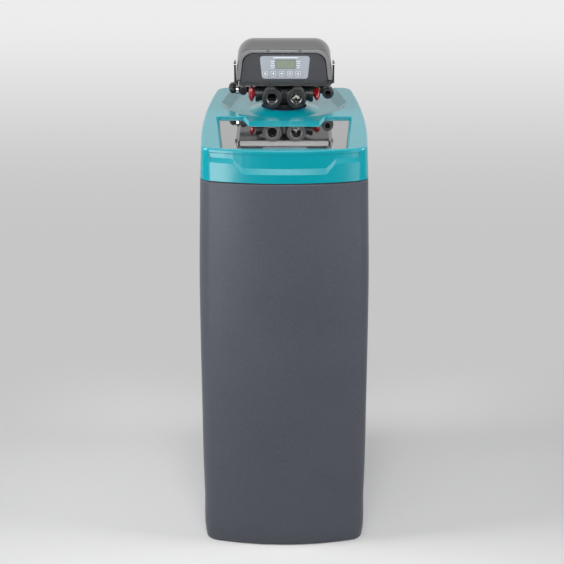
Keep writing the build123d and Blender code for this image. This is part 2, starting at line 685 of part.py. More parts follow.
def tooth_outline(teeth):
    """Involute tooth flanks, from root to tip, as (radius, half angle) pairs."""
    pitch_r = teeth * MODULE / 2
    base_r = pitch_r * cos(PRESSURE_ANGLE)
    tip_r = pitch_r + 0.9 * MODULE
    root_r = pitch_r - 1.25 * MODULE
    involute = tan(PRESSURE_ANGLE) - PRESSURE_ANGLE
    half = (pi * MODULE / 2 - BACKLASH / 2) / (2 * pitch_r)
    start = max(base_r, root_r)
    pairs = [(root_r, half + involute + 0.01)] if root_r < base_r else []
    for share in (0.0, 0.3, 0.65, 1.0):
        r = start + (tip_r - start) * share
        a = acos(base_r / r)
        pairs.append((r, half + involute - (tan(a) - a)))
    return pairs


def spur_gear(teeth, width, turn=0.0):
    """A spur gear about Z from 0 to width, with a tooth on +X turned by the angle."""
    pairs = tooth_outline(teeth)
    points = []
    for i in range(teeth):
        middle = 2 * pi * i / teeth + radians(turn)
        points += [(r * cos(middle - a), r * sin(middle - a)) for r, a in pairs]
        points += [(r * cos(middle + a), r * sin(middle + a)) for r, a in reversed(pairs)]
    return extrude(make_face(Polyline(*points, close=True)), width)


def piston_rack():
    """The piston rod with the toothed rack on its head."""
    rod = round_z(0, TANK_Y, 930, 972, 4.0)
    pitch = pi * MODULE
    root_x = RACK_PITCH_X - 1.25 * MODULE
    tip_x = RACK_PITCH_X + 0.9 * MODULE
    half_pitch_line = pitch / 4 - BACKLASH / 4
    half_root = half_pitch_line + 1.25 * MODULE * tan(PRESSURE_ANGLE)
    half_tip = half_pitch_line - 0.9 * MODULE * tan(PRESSURE_ANGLE)
    bar = box(-3, root_x, 110.5, 119.5, 970, 1005)
    teeth = []
    for i in range(-6, 2):
        z = GEAR_Z + pitch * (i + 0.5)
        profile = Polyline(
            (root_x - 0.5, z - half_root),
            (root_x, z - half_root),
            (tip_x, z - half_tip),
            (tip_x, z + half_tip),
            (root_x, z + half_root),
            (root_x - 0.5, z + half_root),
            close=True,
        )
        teeth.append(extrude(Plane.XZ.offset(-119.5) * make_face(profile), 9))
    return rod + bar + teeth


def drive_gear():
    """The drive gear with the rack's pinion on its hub."""
    wheel = facing_front(GEAR_X, 108, GEAR_Z) * spur_gear(GEAR_TEETH, 6)
    hub = facing_front(GEAR_X, 120, GEAR_Z) * spur_gear(PINION_TEETH, 12.5)
    holes = [
        facing_front(GEAR_X, 108.5, GEAR_Z) * Rot(0, 0, 60 * i + 30) * Pos(20, 0, 3.5) * Cylinder(5, 8)
        for i in range(6)
    ]
    return wheel + hub - holes - round_y(GEAR_X, GEAR_Z, 95, 125, GEAR_AXLE_R + SHAFT_CLEARANCE)


def motor_pinion():
    """The pinion on the motor's shaft."""
    half_pitch = 180.0 / PINION_TEETH
    wheel = facing_front(MOTOR_X, 108, GEAR_Z) * spur_gear(PINION_TEETH, 6, half_pitch)
    return wheel - round_y(MOTOR_X, GEAR_Z, 95, 115, 2.0 + SHAFT_CLEARANCE)


def motor():
    """The geared motor behind the gear plate."""
    can = round_y(MOTOR_X, GEAR_Z, 128.5, 158, 17)
    gearbox = box(MOTOR_X - 18, MOTOR_X + 18, 124, 136, GEAR_Z - 20, GEAR_Z + 20)
    gearbox = fillet(gearbox.edges().filter_by(Axis.Y), 6)
    boss = round_y(MOTOR_X, GEAR_Z, 158, 160, 6)
    shaft = round_y(MOTOR_X, GEAR_Z, 101, 125, 2.0)
    return can + gearbox + boss + shaft


def gear_plate():
    """The upright plate that carries the gear's axle and the motor, screwed to the tray."""
    plate = box(-60, 88, 121, 124, 960, 1030)
    plate = fillet(plate.edges().filter_by(Axis.Y).group_by(Axis.Z)[-1], 6)
    foot = box(-60, 88, 121, 136, 960, 963)
    axle = round_y(GEAR_X, GEAR_Z, 100.5, 122, GEAR_AXLE_R)
    stop = round_y(GEAR_X, GEAR_Z, 99.5, 100.5, 4.5)
    tower_room = round_z(0, TANK_Y, 955, 966, 26.5)
    screw_holes = [round_z(x, y, 955, 966, 1.8) for x, y, seat in TRAY_SCREWS]
    plate = plate + foot + axle + stop - tower_room - screw_holes
    return plate - round_y(MOTOR_X, GEAR_Z, 120, 125, 3.0)


def bypass_body():
    """The bypass: two rotor barrels side to side, each with a port to the front and the back."""
    barrel = round_x(ROTOR_Y, PORT_Z, 3, 60, BARREL_R)
    front = round_y(PORT_X, PORT_Z, 46.3, ROTOR_Y, 19)
    back = round_y(PORT_X, PORT_Z, ROTOR_Y, 98, 15)
    web = box(-14, 14, 66, 90, PORT_Z - 11, PORT_Z + 11)
    body = both_sides(barrel + front + back) + web
    rotor_bore = both_sides(round_x(ROTOR_Y, PORT_Z, 7, 61, ROTOR_R + SHAFT_CLEARANCE))
    flow = both_sides(round_y(PORT_X, PORT_Z, 64, 99, 9))
    tail_room = both_sides(round_y(PORT_X, PORT_Z, 46, 64.3, 14.8))
    return body - rotor_bore - flow - tail_room


def union_nuts():
    """Two ribbed union nuts that hold the port tails."""
    nuts = []
    for x in (-PORT_X, PORT_X):
        nut = facing_front(x, 54, PORT_Z) * ribbed_nut(21.6, 22.4, 22, 20)
        nut = nut - round_y(x, PORT_Z, 39.5, 56, 19.3) - round_y(x, PORT_Z, 30, 42, 15.4)
        nuts.append(nut)
    return Compound(nuts)


def port_tails():
    """Two flanged pipe tails with bevelled mouths, held by the nuts."""
    tails = []
    for x in (-PORT_X, PORT_X):
        tail = round_y(x, PORT_Z, PORT_FACE_Y, 64, 14.6) + round_y(x, PORT_Z, 40, 46, 18.6)
        tail = tail - round_y(x, PORT_Z, PORT_FACE_Y - 1, PIPE_SEAT_Y, PORT_BORE_R)
        tail = tail - round_y(x, PORT_Z, 44, 68, TAIL_WAIST_R)
        mouth = Pos(x, PORT_FACE_Y + 0.5, PORT_Z) * Rot(90, 0, 0) * Cone(PORT_BORE_R, PORT_BORE_R + 1, 1)
        tails.append(tail - mouth)
    return Compound(tails)


def rotor(side, turn):
    """One bypass rotor with its flow hole, on the given side, and its stem out to the handle."""
    drum = round_x(ROTOR_Y, PORT_Z, 8, 59.8, ROTOR_R) + round_x(ROTOR_Y, PORT_Z, 59, 70, 6.0)
    hole = Pos(PORT_X, 0, 0) * Rot(90, 0, 0) * Cylinder(8.5, 40)
    drum = drum - Pos(0, ROTOR_Y, PORT_Z) * Rot(turn, 0, 0) * hole
    return drum if side > 0 else mirror(drum, Plane.YZ)


def rotor_caps():
    """Two grip-edged caps that close the barrels round the rotors' stems."""
    cap = Pos(53.5, ROTOR_Y, PORT_Z) * Rot(0, 90, 0) * ribbed_nut(18.0, 18.6, 9.5, 16)
    cap = cap - round_x(ROTOR_Y, PORT_Z, 50, 60.3, BARREL_R + 0.2)
    cap = cap - round_x(ROTOR_Y, PORT_Z, 60, 65, 6.0 + SHAFT_CLEARANCE)
    return both_sides(cap)


def paddle(grown):
    """The handle's pointed oval blade, upright about its own middle, grown all round."""
    reach, half_thick = 19.0 + grown, 7.4 + grown
    lens = make_face(
        [
            ThreePointArc((0.8, -reach), (half_thick, 0), (0.8, reach)),
            Line((0.8, reach), (-0.8, reach)),
            ThreePointArc((-0.8, reach), (-half_thick, 0), (-0.8, -reach)),
            Line((-0.8, -reach), (0.8, -reach)),
        ]
    )
    seen_edge_on = extrude(Plane.XZ * lens, 20, both=True)
    seen_flat = extrude(Plane.YZ * Ellipse(10.5 + grown, reach), 20, both=True)
    return seen_edge_on & seen_flat


def handle(side, turn):
    """A blade with a hub, upright at no turn, on a rotor's stem."""
    hub = Pos(-3.2, 0, 0) * Rot(0, 90, 0) * Cylinder(8.6, 8)
    shape = Pos(HANDLE_X, ROTOR_Y, PORT_Z) * Rot(turn, 0, 0) * (paddle(0) + hub)
    shape = shape - round_x(ROTOR_Y, PORT_Z, 60, 70, 6.0)
    return shape if side > 0 else mirror(shape, Plane.YZ)


def outlet_handle_band():
    """The brass band round the upper half of the outlet's handle."""
    hub_room = Pos(-3.2, 0, 0) * Rot(0, 90, 0) * Cylinder(8.65, 10)
    band = (paddle(1.2) - paddle(0.0) - hub_room) & Pos(0, 0, 7.4) * Box(40, 60, 5.2)
    return Pos(HANDLE_X, ROTOR_Y, PORT_Z) * Rot(OUTLET_TURN, 0, 0) * band


def meter_spider():
    """The three-armed bearing support in the outlet, one arm up, with the turbine's pin."""
    spider = round_y(PORT_X, PORT_Z, 48, 51.5, 2.4)
    for turn in (0, 120, 240):
        arm = Rot(0, turn, 0) * Pos(0, 0, 5.6) * Box(2.2, 2.6, 9.6)
        spider = spider + Pos(PORT_X, 49.7, PORT_Z) * arm
    spider = spider & round_y(PORT_X, PORT_Z, 47, 53, TAIL_WAIST_R - 0.05)
    return spider + round_y(PORT_X, PORT_Z, 51, 57, 0.8)


def turbine():
    """The flow meter's paddle wheel behind its support."""
    hub = round_y(PORT_X, PORT_Z, 52, 56, 2.6)
    for i in range(6):
        blade = Rot(0, 60 * i + 30, 0) * Pos(0, 0, 5.0) * Rot(0, 0, 30) * Box(0.9, 3.6, 7)
        hub = hub + Pos(PORT_X, 54, PORT_Z) * blade
    wheel = hub & round_y(PORT_X, PORT_Z, 51.9, 56.1, TAIL_WAIST_R - 1.2)
    return wheel - round_y(PORT_X, PORT_Z, 51, 58, 0.8 + SHAFT_CLEARANCE)


def drain_elbow():
    """The drain elbow on the valve's right side, turned to the front."""
    stub = round_x(FITTING_Y, FITTING_Z, 46, DRAIN_X, 9)
    knee = Pos(DRAIN_X, FITTING_Y, FITTING_Z) * Sphere(10)
    outlet = round_y(DRAIN_X, FITTING_Z, 92, FITTING_Y, 9.6)
    shoulder = round_x(FITTING_Y, FITTING_Z, 54, 59, 11.5)
    body = stub + knee + outlet + shoulder
    across = round_x(FITTING_Y, FITTING_Z, 45, DRAIN_X, 5)
    return body - across - round_y(DRAIN_X, FITTING_Z, 91, FITTING_Y, 5)


def drain_nut():
    """The ribbed nut that holds the drain tube."""
    nut = facing_front(DRAIN_X, 106, FITTING_Z) * ribbed_nut(12.0, 12.8, 24, 16)
    tube_hole = round_y(DRAIN_X, FITTING_Z, 80, 92, DRAIN_TUBE_R)
    return nut - tube_hole - round_y(DRAIN_X, FITTING_Z, 91.9, 107, 9.65)


def head_tray():
    """The black tray under the hood, with an ear at each front side."""
    section = Polyline(
        (-99, TRAY_BOTTOM),
        (99, TRAY_BOTTOM),
        (HEAD_HALF, TRAY_BOTTOM + 8),
        (HEAD_HALF, HOOD_SEAT - 0.3),
        (-HEAD_HALF, HOOD_SEAT - 0.3),
        (-HEAD_HALF, TRAY_BOTTOM + 8),
        close=True,
    )
    low = extrude(Plane.XZ.offset(-HEAD_BACK) * make_face(section), HEAD_BACK - HEAD_FRONT)
    plan = box(-HEAD_HALF, HEAD_HALF, HEAD_FRONT, HEAD_BACK, 950, 990)
    low = low & fillet(plan.edges().filter_by(Axis.Z), 11)
    rim_half = 98.0
    rim = box(-rim_half, rim_half, 66, 176, TRAY_BOTTOM + 2, 976)
    rim = fillet(rim.edges().filter_by(Axis.Z), 8)
    hollow = box(2.5 - rim_half, rim_half - 2.5, HEAD_FRONT + 5, HEAD_BACK - 6, TRAY_BOTTOM + 3, 980)
    hollow = fillet(hollow.edges().filter_by(Axis.Z), 9)
    ear = box(HOOD_HALF + 0.5, HOOD_HALF + 4.3, 54, 82, 962, 1009)
    ear = fillet(ear.edges().filter_by(Axis.X).group_by(Axis.Z)[-1], 8)
    latch = Pos(HOOD_HALF + 4.3, 68, 1001) * Rot(0, 90, 0) * Cylinder(3.6, 1.6)
    tray = low + rim - hollow + both_sides(ear + latch)
    panel_slot = box(-95, 95, 50.2, 62, 963.9, 979)
    tower_hole = round_z(0, TANK_Y, 950, 965, 25.6)
    inlet_hole = round_y(-70, INLET_Z, 200, 220, 4.2)
    screw_holes = [round_z(x, y, 950, 968, 1.8) for x, y, seat in TRAY_SCREWS]
    return tray - panel_slot - tower_hole - inlet_hole - screw_holes


def tray_screws():
    """Screws that hold the tray to the valve's housing; two of them hold the gear plate too."""
    pieces = []
    for x, y, seat in TRAY_SCREWS:
        head = round_z(x, y, seat + 0.1, seat + 2.6, 3.6)
        shank = round_z(x, y, 943, seat + 1, 1.7)
        slot = box(x - 3, x + 3, y - 0.5, y + 0.5, seat + 1.6, seat + 3)
        pieces.append(head + shank - slot)
    return Compound(pieces)


HOOD_SECTIONS = (
    (43.0, 104.2, 1022.0, 28.0),
    (56.0, 104.2, 1031.0, 30.0),
    (66.0, 104.2, 1036.5, 32.0),
    (80.0, 104.2, 1042.0, 34.0),
    (100.0, 104.2, 1046.5, 35.0),
    (125.0, 104.2, 1045.5, 35.0),
    (150.0, 103.8, 1040.0, 35.0),
    (178.0, 102.6, 1031.0, 33.0),
    (198.0, 99.5, 1020.0, 30.0),
    (212.0, 94.0, 1006.0, 24.0),
)


def hood_face(y, half, top, r, bottom):
    """The hood's section across at y: upright sides that lean in and round into the top."""
    corners = Polyline((-half, bottom), (half, bottom), (half - 5, top), (5 - half, top), close=True)
    face = make_face(corners)
    upper = face.vertices().group_by(Axis.Y)[-1]
    return Plane.XZ.offset(-y) * fillet(upper, r)


def panel_place():
    """The panel's own plane: X right, Y up the panel, Z out of its face."""
    tilt = radians(PANEL_TILT)
    return Plane(origin=(0, PANEL_Y, 970), x_dir=(1, 0, 0), z_dir=(0, -cos(tilt), sin(tilt)))


def on_panel(shape):
    """Moves a shape drawn in the panel's own plane into place."""
    return panel_place().location * shape


def panel_outline(grown, foot):
    """The arched outline of the window and the fascia in the panel's own plane."""
    low, high, top = 94.0 + grown, 86.4 + grown, 56.0 + grown
    face = make_face(Polyline((-low, foot), (low, foot), (high, top), (-high, top), close=True))
    return fillet(face.vertices().group_by(Axis.Y)[-1], 25 + grown)


def hood():
    """The satin hood over the drive, with an arched front window and two moulded dimples."""
    wall = HOOD_WALL
    outside = loft([hood_face(y, w, t, r, HOOD_SEAT) for y, w, t, r in HOOD_SECTIONS])
    inner = []
    for y, w, t, r in HOOD_SECTIONS:
        y_in = y - wall if y > 190 else y
        inner.append(hood_face(y_in, w - wall, t - wall, r - wall, HOOD_SEAT - 2))
    before_face = on_panel(Pos(0, 0, HOOD_PROUD + 60) * Box(300, 300, 120))
    behind_wall = on_panel(Pos(0, 0, HOOD_PROUD - wall + 60) * Box(300, 300, 120))
    window = on_panel(extrude(panel_outline(1.2, -14), 60))
    dimples = both_sides(on_panel(Pos(34.5, 60.5, HOOD_PROUD) * Sphere(2.0)))
    return outside - before_face - (loft(inner) - behind_wall) - window - dimples


def front_panel():
    """The fascia behind the hood's arch, with a raised rim and openings for what it carries."""
    plate = extrude(panel_outline(0, -5.4), -3)
    rim = extrude(panel_outline(0, -5.4), 1.6) - Pos(0, 0, -1) * extrude(panel_outline(-4, -9), 4)
    display = Pos(2.8, DISPLAY_V, 0) * Box(42, 18, 12)
    wells = [Pos(button_x(i), BUTTON_V, 0) * Box(9.0, 9.0, 12) for i in range(5)]
    return on_panel(plate + rim - display - wells)


def button_x(i):
    """Where button i stands along the panel."""
    return BUTTON_FIRST_X + BUTTON_PITCH * i


def panel_label():
    """The pale label plate round the display and buttons."""
    points = Polyline((-48, 2.0), (51, 2.0), (56, 51), (-53, 51), close=True)
    plate = extrude(fillet(make_face(points).vertices(), 6.5), 0.8)
    display = Pos(2.8, DISPLAY_V, 0) * Box(41, 17, 4)
    room = BUTTON_SIZE + 0.8
    wells = [Pos(button_x(i), BUTTON_V, 0) * Box(room, room, 4) for i in range(5)]
    return on_panel(plate - display - wells)


def lcd():
    """The display's glass with its back plate."""
    glass = Pos(2.8, DISPLAY_V, -1.6) * Box(40.6, 16.6, 3.6)
    back = Pos(2.8, DISPLAY_V, -4.7) * Box(46, 22, 3)
    return on_panel(glass + back)


def button(i):
    """One push button: a square cap on a stem through the fascia."""
    cap = Pos(button_x(i), BUTTON_V, 1.5) * Box(BUTTON_SIZE, BUTTON_SIZE, 0.8)
    cap = fillet(cap.edges().filter_by(Axis.Z), 2.0)
    stem = Pos(button_x(i), BUTTON_V, -1.4) * Box(8.4, 8.4, 5.4)
    return on_panel(cap + stem)


def circuit_board():
    """The board behind the panel with its chips and terminal block."""
    board = Pos(0, 28, -8.6) * Box(150, 46, 1.6)
    chips = Pos(-50, 34, -10.6) * Box(14, 14, 2.6) + Pos(-30, 18, -10.4) * Box(9, 6, 2.2)
    block = Pos(52, 16, -13.2) * Box(36, 9, 8)
    standoffs = []
    for x in (-68, 68):
        for y in (10, 40):
            standoffs.append(Pos(x, y, -5.5) * Cylinder(3, 4.8))
    return on_panel(board + chips + block + standoffs)


def power_inlet():
    """The low-voltage socket in the tray's back wall."""
    barrel = round_y(-70, INLET_Z, 204, 213, 4.1)
    body = box(-76, -64, 196, 205.5, 960.2, 968)
    return barrel + body - round_y(-70, INLET_Z, 206, 215, 2.6)


def build():
    """Makes every sub-part and writes it."""
    os.makedirs("parts", exist_ok=True)
    save(cabinet_shell(), "cabinet_shell")
    save(top_cover(), "top_cover")
    save(salt_lid(), "salt_lid")
    save(lid_hinge_pins(), "lid_hinge_pins")
    save(cover_screws(), "cover_screws")
    save(overflow_elbow(), "overflow_elbow")
    save(overflow_nut(), "overflow_nut")
    save(resin_tank(), "resin_tank")
    save(tank_boot(), "tank_boot")
    save(riser_tube(), "riser_tube")
    save(lower_basket(), "lower_basket")
    save(upper_basket(), "upper_basket")
    save(resin_bed(), "resin_bed")
    save(brine_well(), "brine_well")
    save(brine_well_cap(), "brine_well_cap")
    save(salt_grid(), "salt_grid")
    save(grid_legs(), "grid_legs")
    save(brine_valve(), "brine_valve")
    save(brine_pickup_tube(), "brine_pickup_tube")
    save(air_check(), "air_check")
    save(float_rod(), "float_rod")
    save(float_body(), "float")
    save(brine_line(), "brine_line")
    save(brine_elbow(), "brine_elbow")
    save(brine_elbow_clip(), "brine_elbow_clip")
    save(brine_elbow_nut(), "brine_elbow_nut")
    save(valve_body(), "valve_body")
    save(seal_stack(), "seal_stack")
    save(piston(), "piston")
    save(piston_rack(), "piston_rack")
    save(drive_gear(), "drive_gear")
    save(motor_pinion(), "motor_pinion")
    save(motor(), "motor")
    save(gear_plate(), "gear_plate")
    save(bypass_body(), "bypass_body")
    save(union_nuts(), "union_nuts")
    save(port_tails(), "port_tails")
    save(rotor(-1, 0), "inlet_rotor")
    save(rotor(1, OUTLET_TURN), "outlet_rotor")
    save(rotor_caps(), "rotor_caps")
    save(handle(-1, 0), "inlet_handle")
    save(handle(1, OUTLET_TURN), "outlet_handle")
    save(outlet_handle_band(), "outlet_handle_band")
    save(meter_spider(), "meter_spider")
    save(turbine(), "turbine")
    save(drain_elbow(), "drain_elbow")
    save(drain_nut(), "drain_nut")
    save(head_tray(), "head_tray")
    save(tray_screws(), "tray_screws")
    save(hood(), "hood")
    save(front_panel(), "front_panel")
    save(panel_label(), "panel_label")
    save(lcd(), "lcd")
    for i, name in enumerate(BUTTON_NAMES):
        save(button(i), name)
    save(circuit_board(), "circuit_board")
    save(power_inlet(), "power_inlet")


build()
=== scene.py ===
"""Surfaces, finishes, light and camera for a cabinet water softener, laid out as an add-on.

Blender's lengths are metres and heights run up from the floor. The shapes are worked out in
millimetres, and become metres as they are put into a mesh.
"""
import json
import math

import bmesh
import bpy
import numpy as np
from bpy.props import FloatProperty, FloatVectorProperty, PointerProperty
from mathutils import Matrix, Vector

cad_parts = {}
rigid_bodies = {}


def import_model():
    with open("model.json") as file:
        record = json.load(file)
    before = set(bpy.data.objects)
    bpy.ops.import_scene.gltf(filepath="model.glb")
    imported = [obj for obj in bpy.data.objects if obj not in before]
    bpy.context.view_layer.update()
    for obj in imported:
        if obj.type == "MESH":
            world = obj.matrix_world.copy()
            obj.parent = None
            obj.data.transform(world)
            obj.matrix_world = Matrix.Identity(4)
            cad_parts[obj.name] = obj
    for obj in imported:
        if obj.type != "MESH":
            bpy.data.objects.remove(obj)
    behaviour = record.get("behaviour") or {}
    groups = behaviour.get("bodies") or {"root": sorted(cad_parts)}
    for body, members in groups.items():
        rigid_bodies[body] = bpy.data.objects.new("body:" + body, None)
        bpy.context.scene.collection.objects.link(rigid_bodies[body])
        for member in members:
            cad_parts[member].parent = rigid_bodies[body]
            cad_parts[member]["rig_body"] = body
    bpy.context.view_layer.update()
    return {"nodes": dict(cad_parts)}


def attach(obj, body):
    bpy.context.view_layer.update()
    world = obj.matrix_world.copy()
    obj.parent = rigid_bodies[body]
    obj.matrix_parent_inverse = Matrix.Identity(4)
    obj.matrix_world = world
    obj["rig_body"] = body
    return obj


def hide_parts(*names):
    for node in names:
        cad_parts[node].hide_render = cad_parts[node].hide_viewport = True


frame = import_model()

bl_info = {
    "name": "Cabinet water softener",
    "version": (1, 0, 0),
    "blender": (4, 5, 0),
    "location": "3D View > Sidebar > Softener",
    "description": "Dresses the parts of a cabinet water softener and sets them on a pale stage",
    "category": "Object",
}

MM = 0.001
NODES = frame["nodes"]

# The camera's frame: the photograph's side and the focal length, both in pixels
PHOTO_SIDE = 564
FOCAL = 1622
SENSOR_MM = 36


def linear(text):
    """An sRGB hex colour as linear red, green, blue."""
    value = np.array([int(text[i:i + 2], 16) for i in (1, 3, 5)]) / 255.0
    low = value / 12.92
    high = ((value + 0.055) / 1.055) ** 2.4
    return tuple(float(x) for x in np.where(value <= 0.04045, low, high))


# ---- sizes and colours a user would change


def colour(name, text, description):
    """A colour property with an sRGB hex default."""
    return FloatVectorProperty(
        name=name, description=description, default=linear(text), subtype="COLOR", size=3, min=0, max=1
    )


def length(name, default, least, most, description):
    """A length property, given in millimetres."""
    return FloatProperty(
        name=name, description=description, default=default * MM, min=least * MM, max=most * MM, unit="LENGTH"
    )


def power(name, watts, description):
    """A lamp's power."""
    return FloatProperty(name=name, description=description, default=watts, min=0, unit="POWER")


class SoftenerColours(bpy.types.PropertyGroup):
    """The finishes' base colours."""

    cabinet: colour("Cabinet", "#51545d", "Blow-moulded body of the cabinet")
    cover: colour("Cover", "#009aa8", "Gloss cover over the cabinet")
    lid: colour("Salt lid", "#1e1e20", "Smoked salt lid")
    hood: colour("Hood", "#525253", "Satin hood over the drive")
    fascia: colour("Fascia", "#292a2f", "Panel behind the hood's arch")
    label: colour("Label", "#9096a0", "Plate round the display")
    black: colour("Black mouldings", "#121315", "Valve, bypass and fittings")
    handle: colour("Handles", "#8c0f1c", "Bypass handles")
    brass: colour("Brass", "#b98a3c", "Band and pinion")


class SoftenerSizes(bpy.types.PropertyGroup):
    """Sizes of the moulded details."""

    edge: length("Edge rounding", 1.1, 0.2, 3.0, "Radius of the cover's moulded edges")
    grain: length("Grain size", 1.6, 0.3, 5.0, "Spacing of the cabinet's moulded grain")
    wind: length("Winding pitch", 9.0, 2.0, 30.0, "Spacing of the tank's glass-fibre bands")


class SoftenerStage(bpy.types.PropertyGroup):
    """Light and camera."""

    key: power("Side boxes", 13.0, "Power of the left softbox; the right one has three quarters of it")
    top: power("Top box", 4.5, "Power of the overhead softbox")
    front: power("Front box", 11.5, "Power of the gridded softbox over the camera")
    low: power("Low boxes", 8.5, "Power of the low box at the left; the right one has three tenths of it")
    world: FloatProperty(
        name="Surroundings", description="Strength of the room's own light", default=0.07, min=0, max=1,
        subtype="FACTOR",
    )
    lens: FloatProperty(
        name="Lens", description="Focal length on a 36 mm wide sensor",
        default=SENSOR_MM * FOCAL / PHOTO_SIDE, min=20, max=300, unit="CAMERA",
    )


# ---- materials


def add_node(tree, kind, settings=None, links=None):
    """Adds a node. A setting or link is keyed by the input's name or number, or by the node's own
    option. A link comes from a socket, or from a node, which means its first output."""
    node = tree.nodes.new("ShaderNode" + kind)
    for key, value in (settings or {}).items():
        if isinstance(key, int) or key in node.inputs:
            node.inputs[key].default_value = value
        else:
            setattr(node, key, value)
    for key, source in (links or {}).items():
        tree.links.new(getattr(source, "outputs", [source])[0], node.inputs[key])
    return node


def new_material(name, build, *values):
    """A material whose shader build adds to the tree, from the piece's own coordinates and values."""
    material = bpy.data.materials.new(name)
    material.use_nodes = True
    tree = material.node_tree
    tree.nodes.clear()
    place = add_node(tree, "TexCoord").outputs["Object"]
    add_node(tree, "OutputMaterial", links={"Surface": build(tree, place, *values)})
    return material


def is_shown(tree):
    """One for rays that show the surroundings: seen, mirrored or through glass. Zero for light."""
    paths = add_node(tree, "LightPath").outputs
    shown = paths["Is Camera Ray"]
    for other in ("Is Glossy Ray", "Is Transmission Ray"):
        shown = add_node(tree, "Math", {"operation": "MAXIMUM"}, {0: shown, 1: paths[other]})
    return shown


def rgba(value):
    """A colour with full alpha."""
    return (*tuple(value), 1.0)


def tones(base, dark, bright):
    """The two ends of a mix: a colour times dark, and the same colour times bright."""
    return {"Color1": rgba(np.array(base) * dark), "Color2": rgba(np.array(base) * bright)}


def plain_finish(tree, place, base, rough, spread, grain_mm, bump, edge_mm=0.4, sockets=None):
    """A moulded or turned finish: one colour with a slight cloud in it, 30 mm across, roughness that
    varies by spread, a fine bump of grain_mm, and edges that shade as if rounded by edge_mm. The
    shader's other sockets are set directly."""
    rounded = add_node(tree, "Bevel", {"Radius": edge_mm * MM, "samples": 4})
    cloud = add_node(tree, "TexNoise", {"Scale": 35.0, "Detail": 3.0}, {"Vector": place})
    fine = add_node(
        tree, "TexNoise", {"Scale": 1.0 / (grain_mm * MM), "Detail": 2.0, "Roughness": 0.6}, {"Vector": place}
    )
    brighter = rgba(np.clip(np.array(base) * 1.12 + 0.002, 0, 1))
    tint = add_node(tree, "MixRGB", {"Color1": rgba(base), "Color2": brighter}, {"Fac": cloud})
    dull = add_node(
        tree, "MapRange", {"To Min": max(rough - spread, 0.02), "To Max": rough + spread}, {"Value": fine}
    )
    height = add_node(tree, "Bump", {"Strength": bump, "Distance": 0.0002}, {"Height": fine, "Normal": rounded})
    return add_node(tree, "BsdfPrincipled", sockets, {"Base Color": tint, "Roughness": dull, "Normal": height})


def grained_polyethylene(tree, place, base, grain):
    """Blow-moulded polyethylene: a leathery grain that breaks the light into fine speckles, a faint
    cloud 110 mm across, and a soft sheen where the wall turns away."""
    cells = add_node(
        tree, "TexVoronoi", {"Scale": 1.0 / grain, "feature": "SMOOTH_F1", "Smoothness": 0.6}, {"Vector": place}
    )
    cloud = add_node(tree, "TexNoise", {"Scale": 9.0, "Detail": 4.0}, {"Vector": place})
    speckle = add_node(tree, "TexNoise", {"Scale": 0.7 / grain, "Detail": 2.0}, {"Vector": place})
    mixed = add_node(tree, "Math", {"operation": "MULTIPLY_ADD", 1: 0.35}, {0: cloud, 2: speckle})
    tint = add_node(tree, "MapRange", {"From Min": 0.45, "From Max": 0.9}, {"Value": mixed})
    shade = add_node(tree, "MixRGB", tones(base, 0.88, 1.16), {"Fac": tint})
    height = add_node(tree, "Bump", {"Strength": 0.5, "Distance": 0.0003}, {"Height": cells})
    return add_node(
        tree, "BsdfPrincipled", {"Roughness": 0.36, "IOR": 1.51, "Specular IOR Level": 0.3},
        {"Base Color": shade, "Normal": height},
    )


def gloss_abs(tree, place, base, edge):
    """Injection-moulded ABS polished in the mould: a bright wet gloss over one even colour, with the
    faintest waviness in what it mirrors, 40 mm across, and specks 2.4 mm across that dull it."""
    rounded = add_node(tree, "Bevel", {"Radius": edge, "samples": 8})
    wave = add_node(tree, "TexNoise", {"Scale": 26.0, "Detail": 1.0}, {"Vector": place})
    dust = add_node(tree, "TexNoise", {"Scale": 420.0, "Detail": 4.0}, {"Vector": place})
    rough = add_node(tree, "MapRange", {"To Min": 0.22, "To Max": 0.3}, {"Value": dust})
    tint = add_node(tree, "MixRGB", tones(base, 0.97, 1.04), {"Fac": wave})
    height = add_node(tree, "Bump", {"Strength": 0.03, "Distance": 0.0008}, {"Height": wave, "Normal": rounded})
    return add_node(
        tree, "BsdfPrincipled", {"IOR": 1.5, "Coat Weight": 0.4, "Coat Roughness": 0.13, "Coat IOR": 1.5},
        {"Base Color": tint, "Roughness": rough, "Normal": height},
    )


def smoked_acrylic(tree, place, base):
    """Smoked cast acrylic over a dark back: nearly black, but a clean mirror at a low angle, with
    patches 70 mm across that are a little hazier."""
    haze = add_node(tree, "TexNoise", {"Scale": 14.0, "Detail": 3.0}, {"Vector": place})
    rough = add_node(tree, "MapRange", {"To Min": 0.03, "To Max": 0.07}, {"Value": haze})
    return add_node(
        tree, "BsdfPrincipled",
        {"Base Color": rgba(base), "IOR": 2.0, "Coat Weight": 1.0, "Coat Roughness": 0.03, "Coat IOR": 1.9},
        {"Roughness": rough},
    )


def wound_glass_fibre(tree, place, base, pitch):
    """Resin-bound glass roving wound round the tank: shallow crossing bands under a gloss. Waves
    lie 0.314 / scale apart."""
    bands = []
    for tilt in (0.35, -0.35):
        turned = add_node(tree, "Mapping", {"Rotation": (tilt, tilt * 0.4, 0.0)}, {"Vector": place})
        wave = add_node(
            tree, "TexWave",
            {"bands_direction": "Z", "Scale": 0.314 / pitch, "Distortion": 1.2, "Detail": 2.0, "Detail Scale": 3.0},
            {"Vector": turned},
        )
        bands.append(wave.outputs["Fac"])
    weave = add_node(tree, "Math", {"operation": "MAXIMUM"}, {0: bands[0], 1: bands[1]})
    shade = add_node(tree, "MixRGB", tones(base, 0.7, 1.2), {"Fac": weave})
    height = add_node(tree, "Bump", {"Strength": 0.25, "Distance": 0.0006}, {"Height": weave})
    return add_node(
        tree, "BsdfPrincipled", {"Roughness": 0.32, "Coat Weight": 0.4, "Coat Roughness": 0.15},
        {"Base Color": shade, "Normal": height},
    )


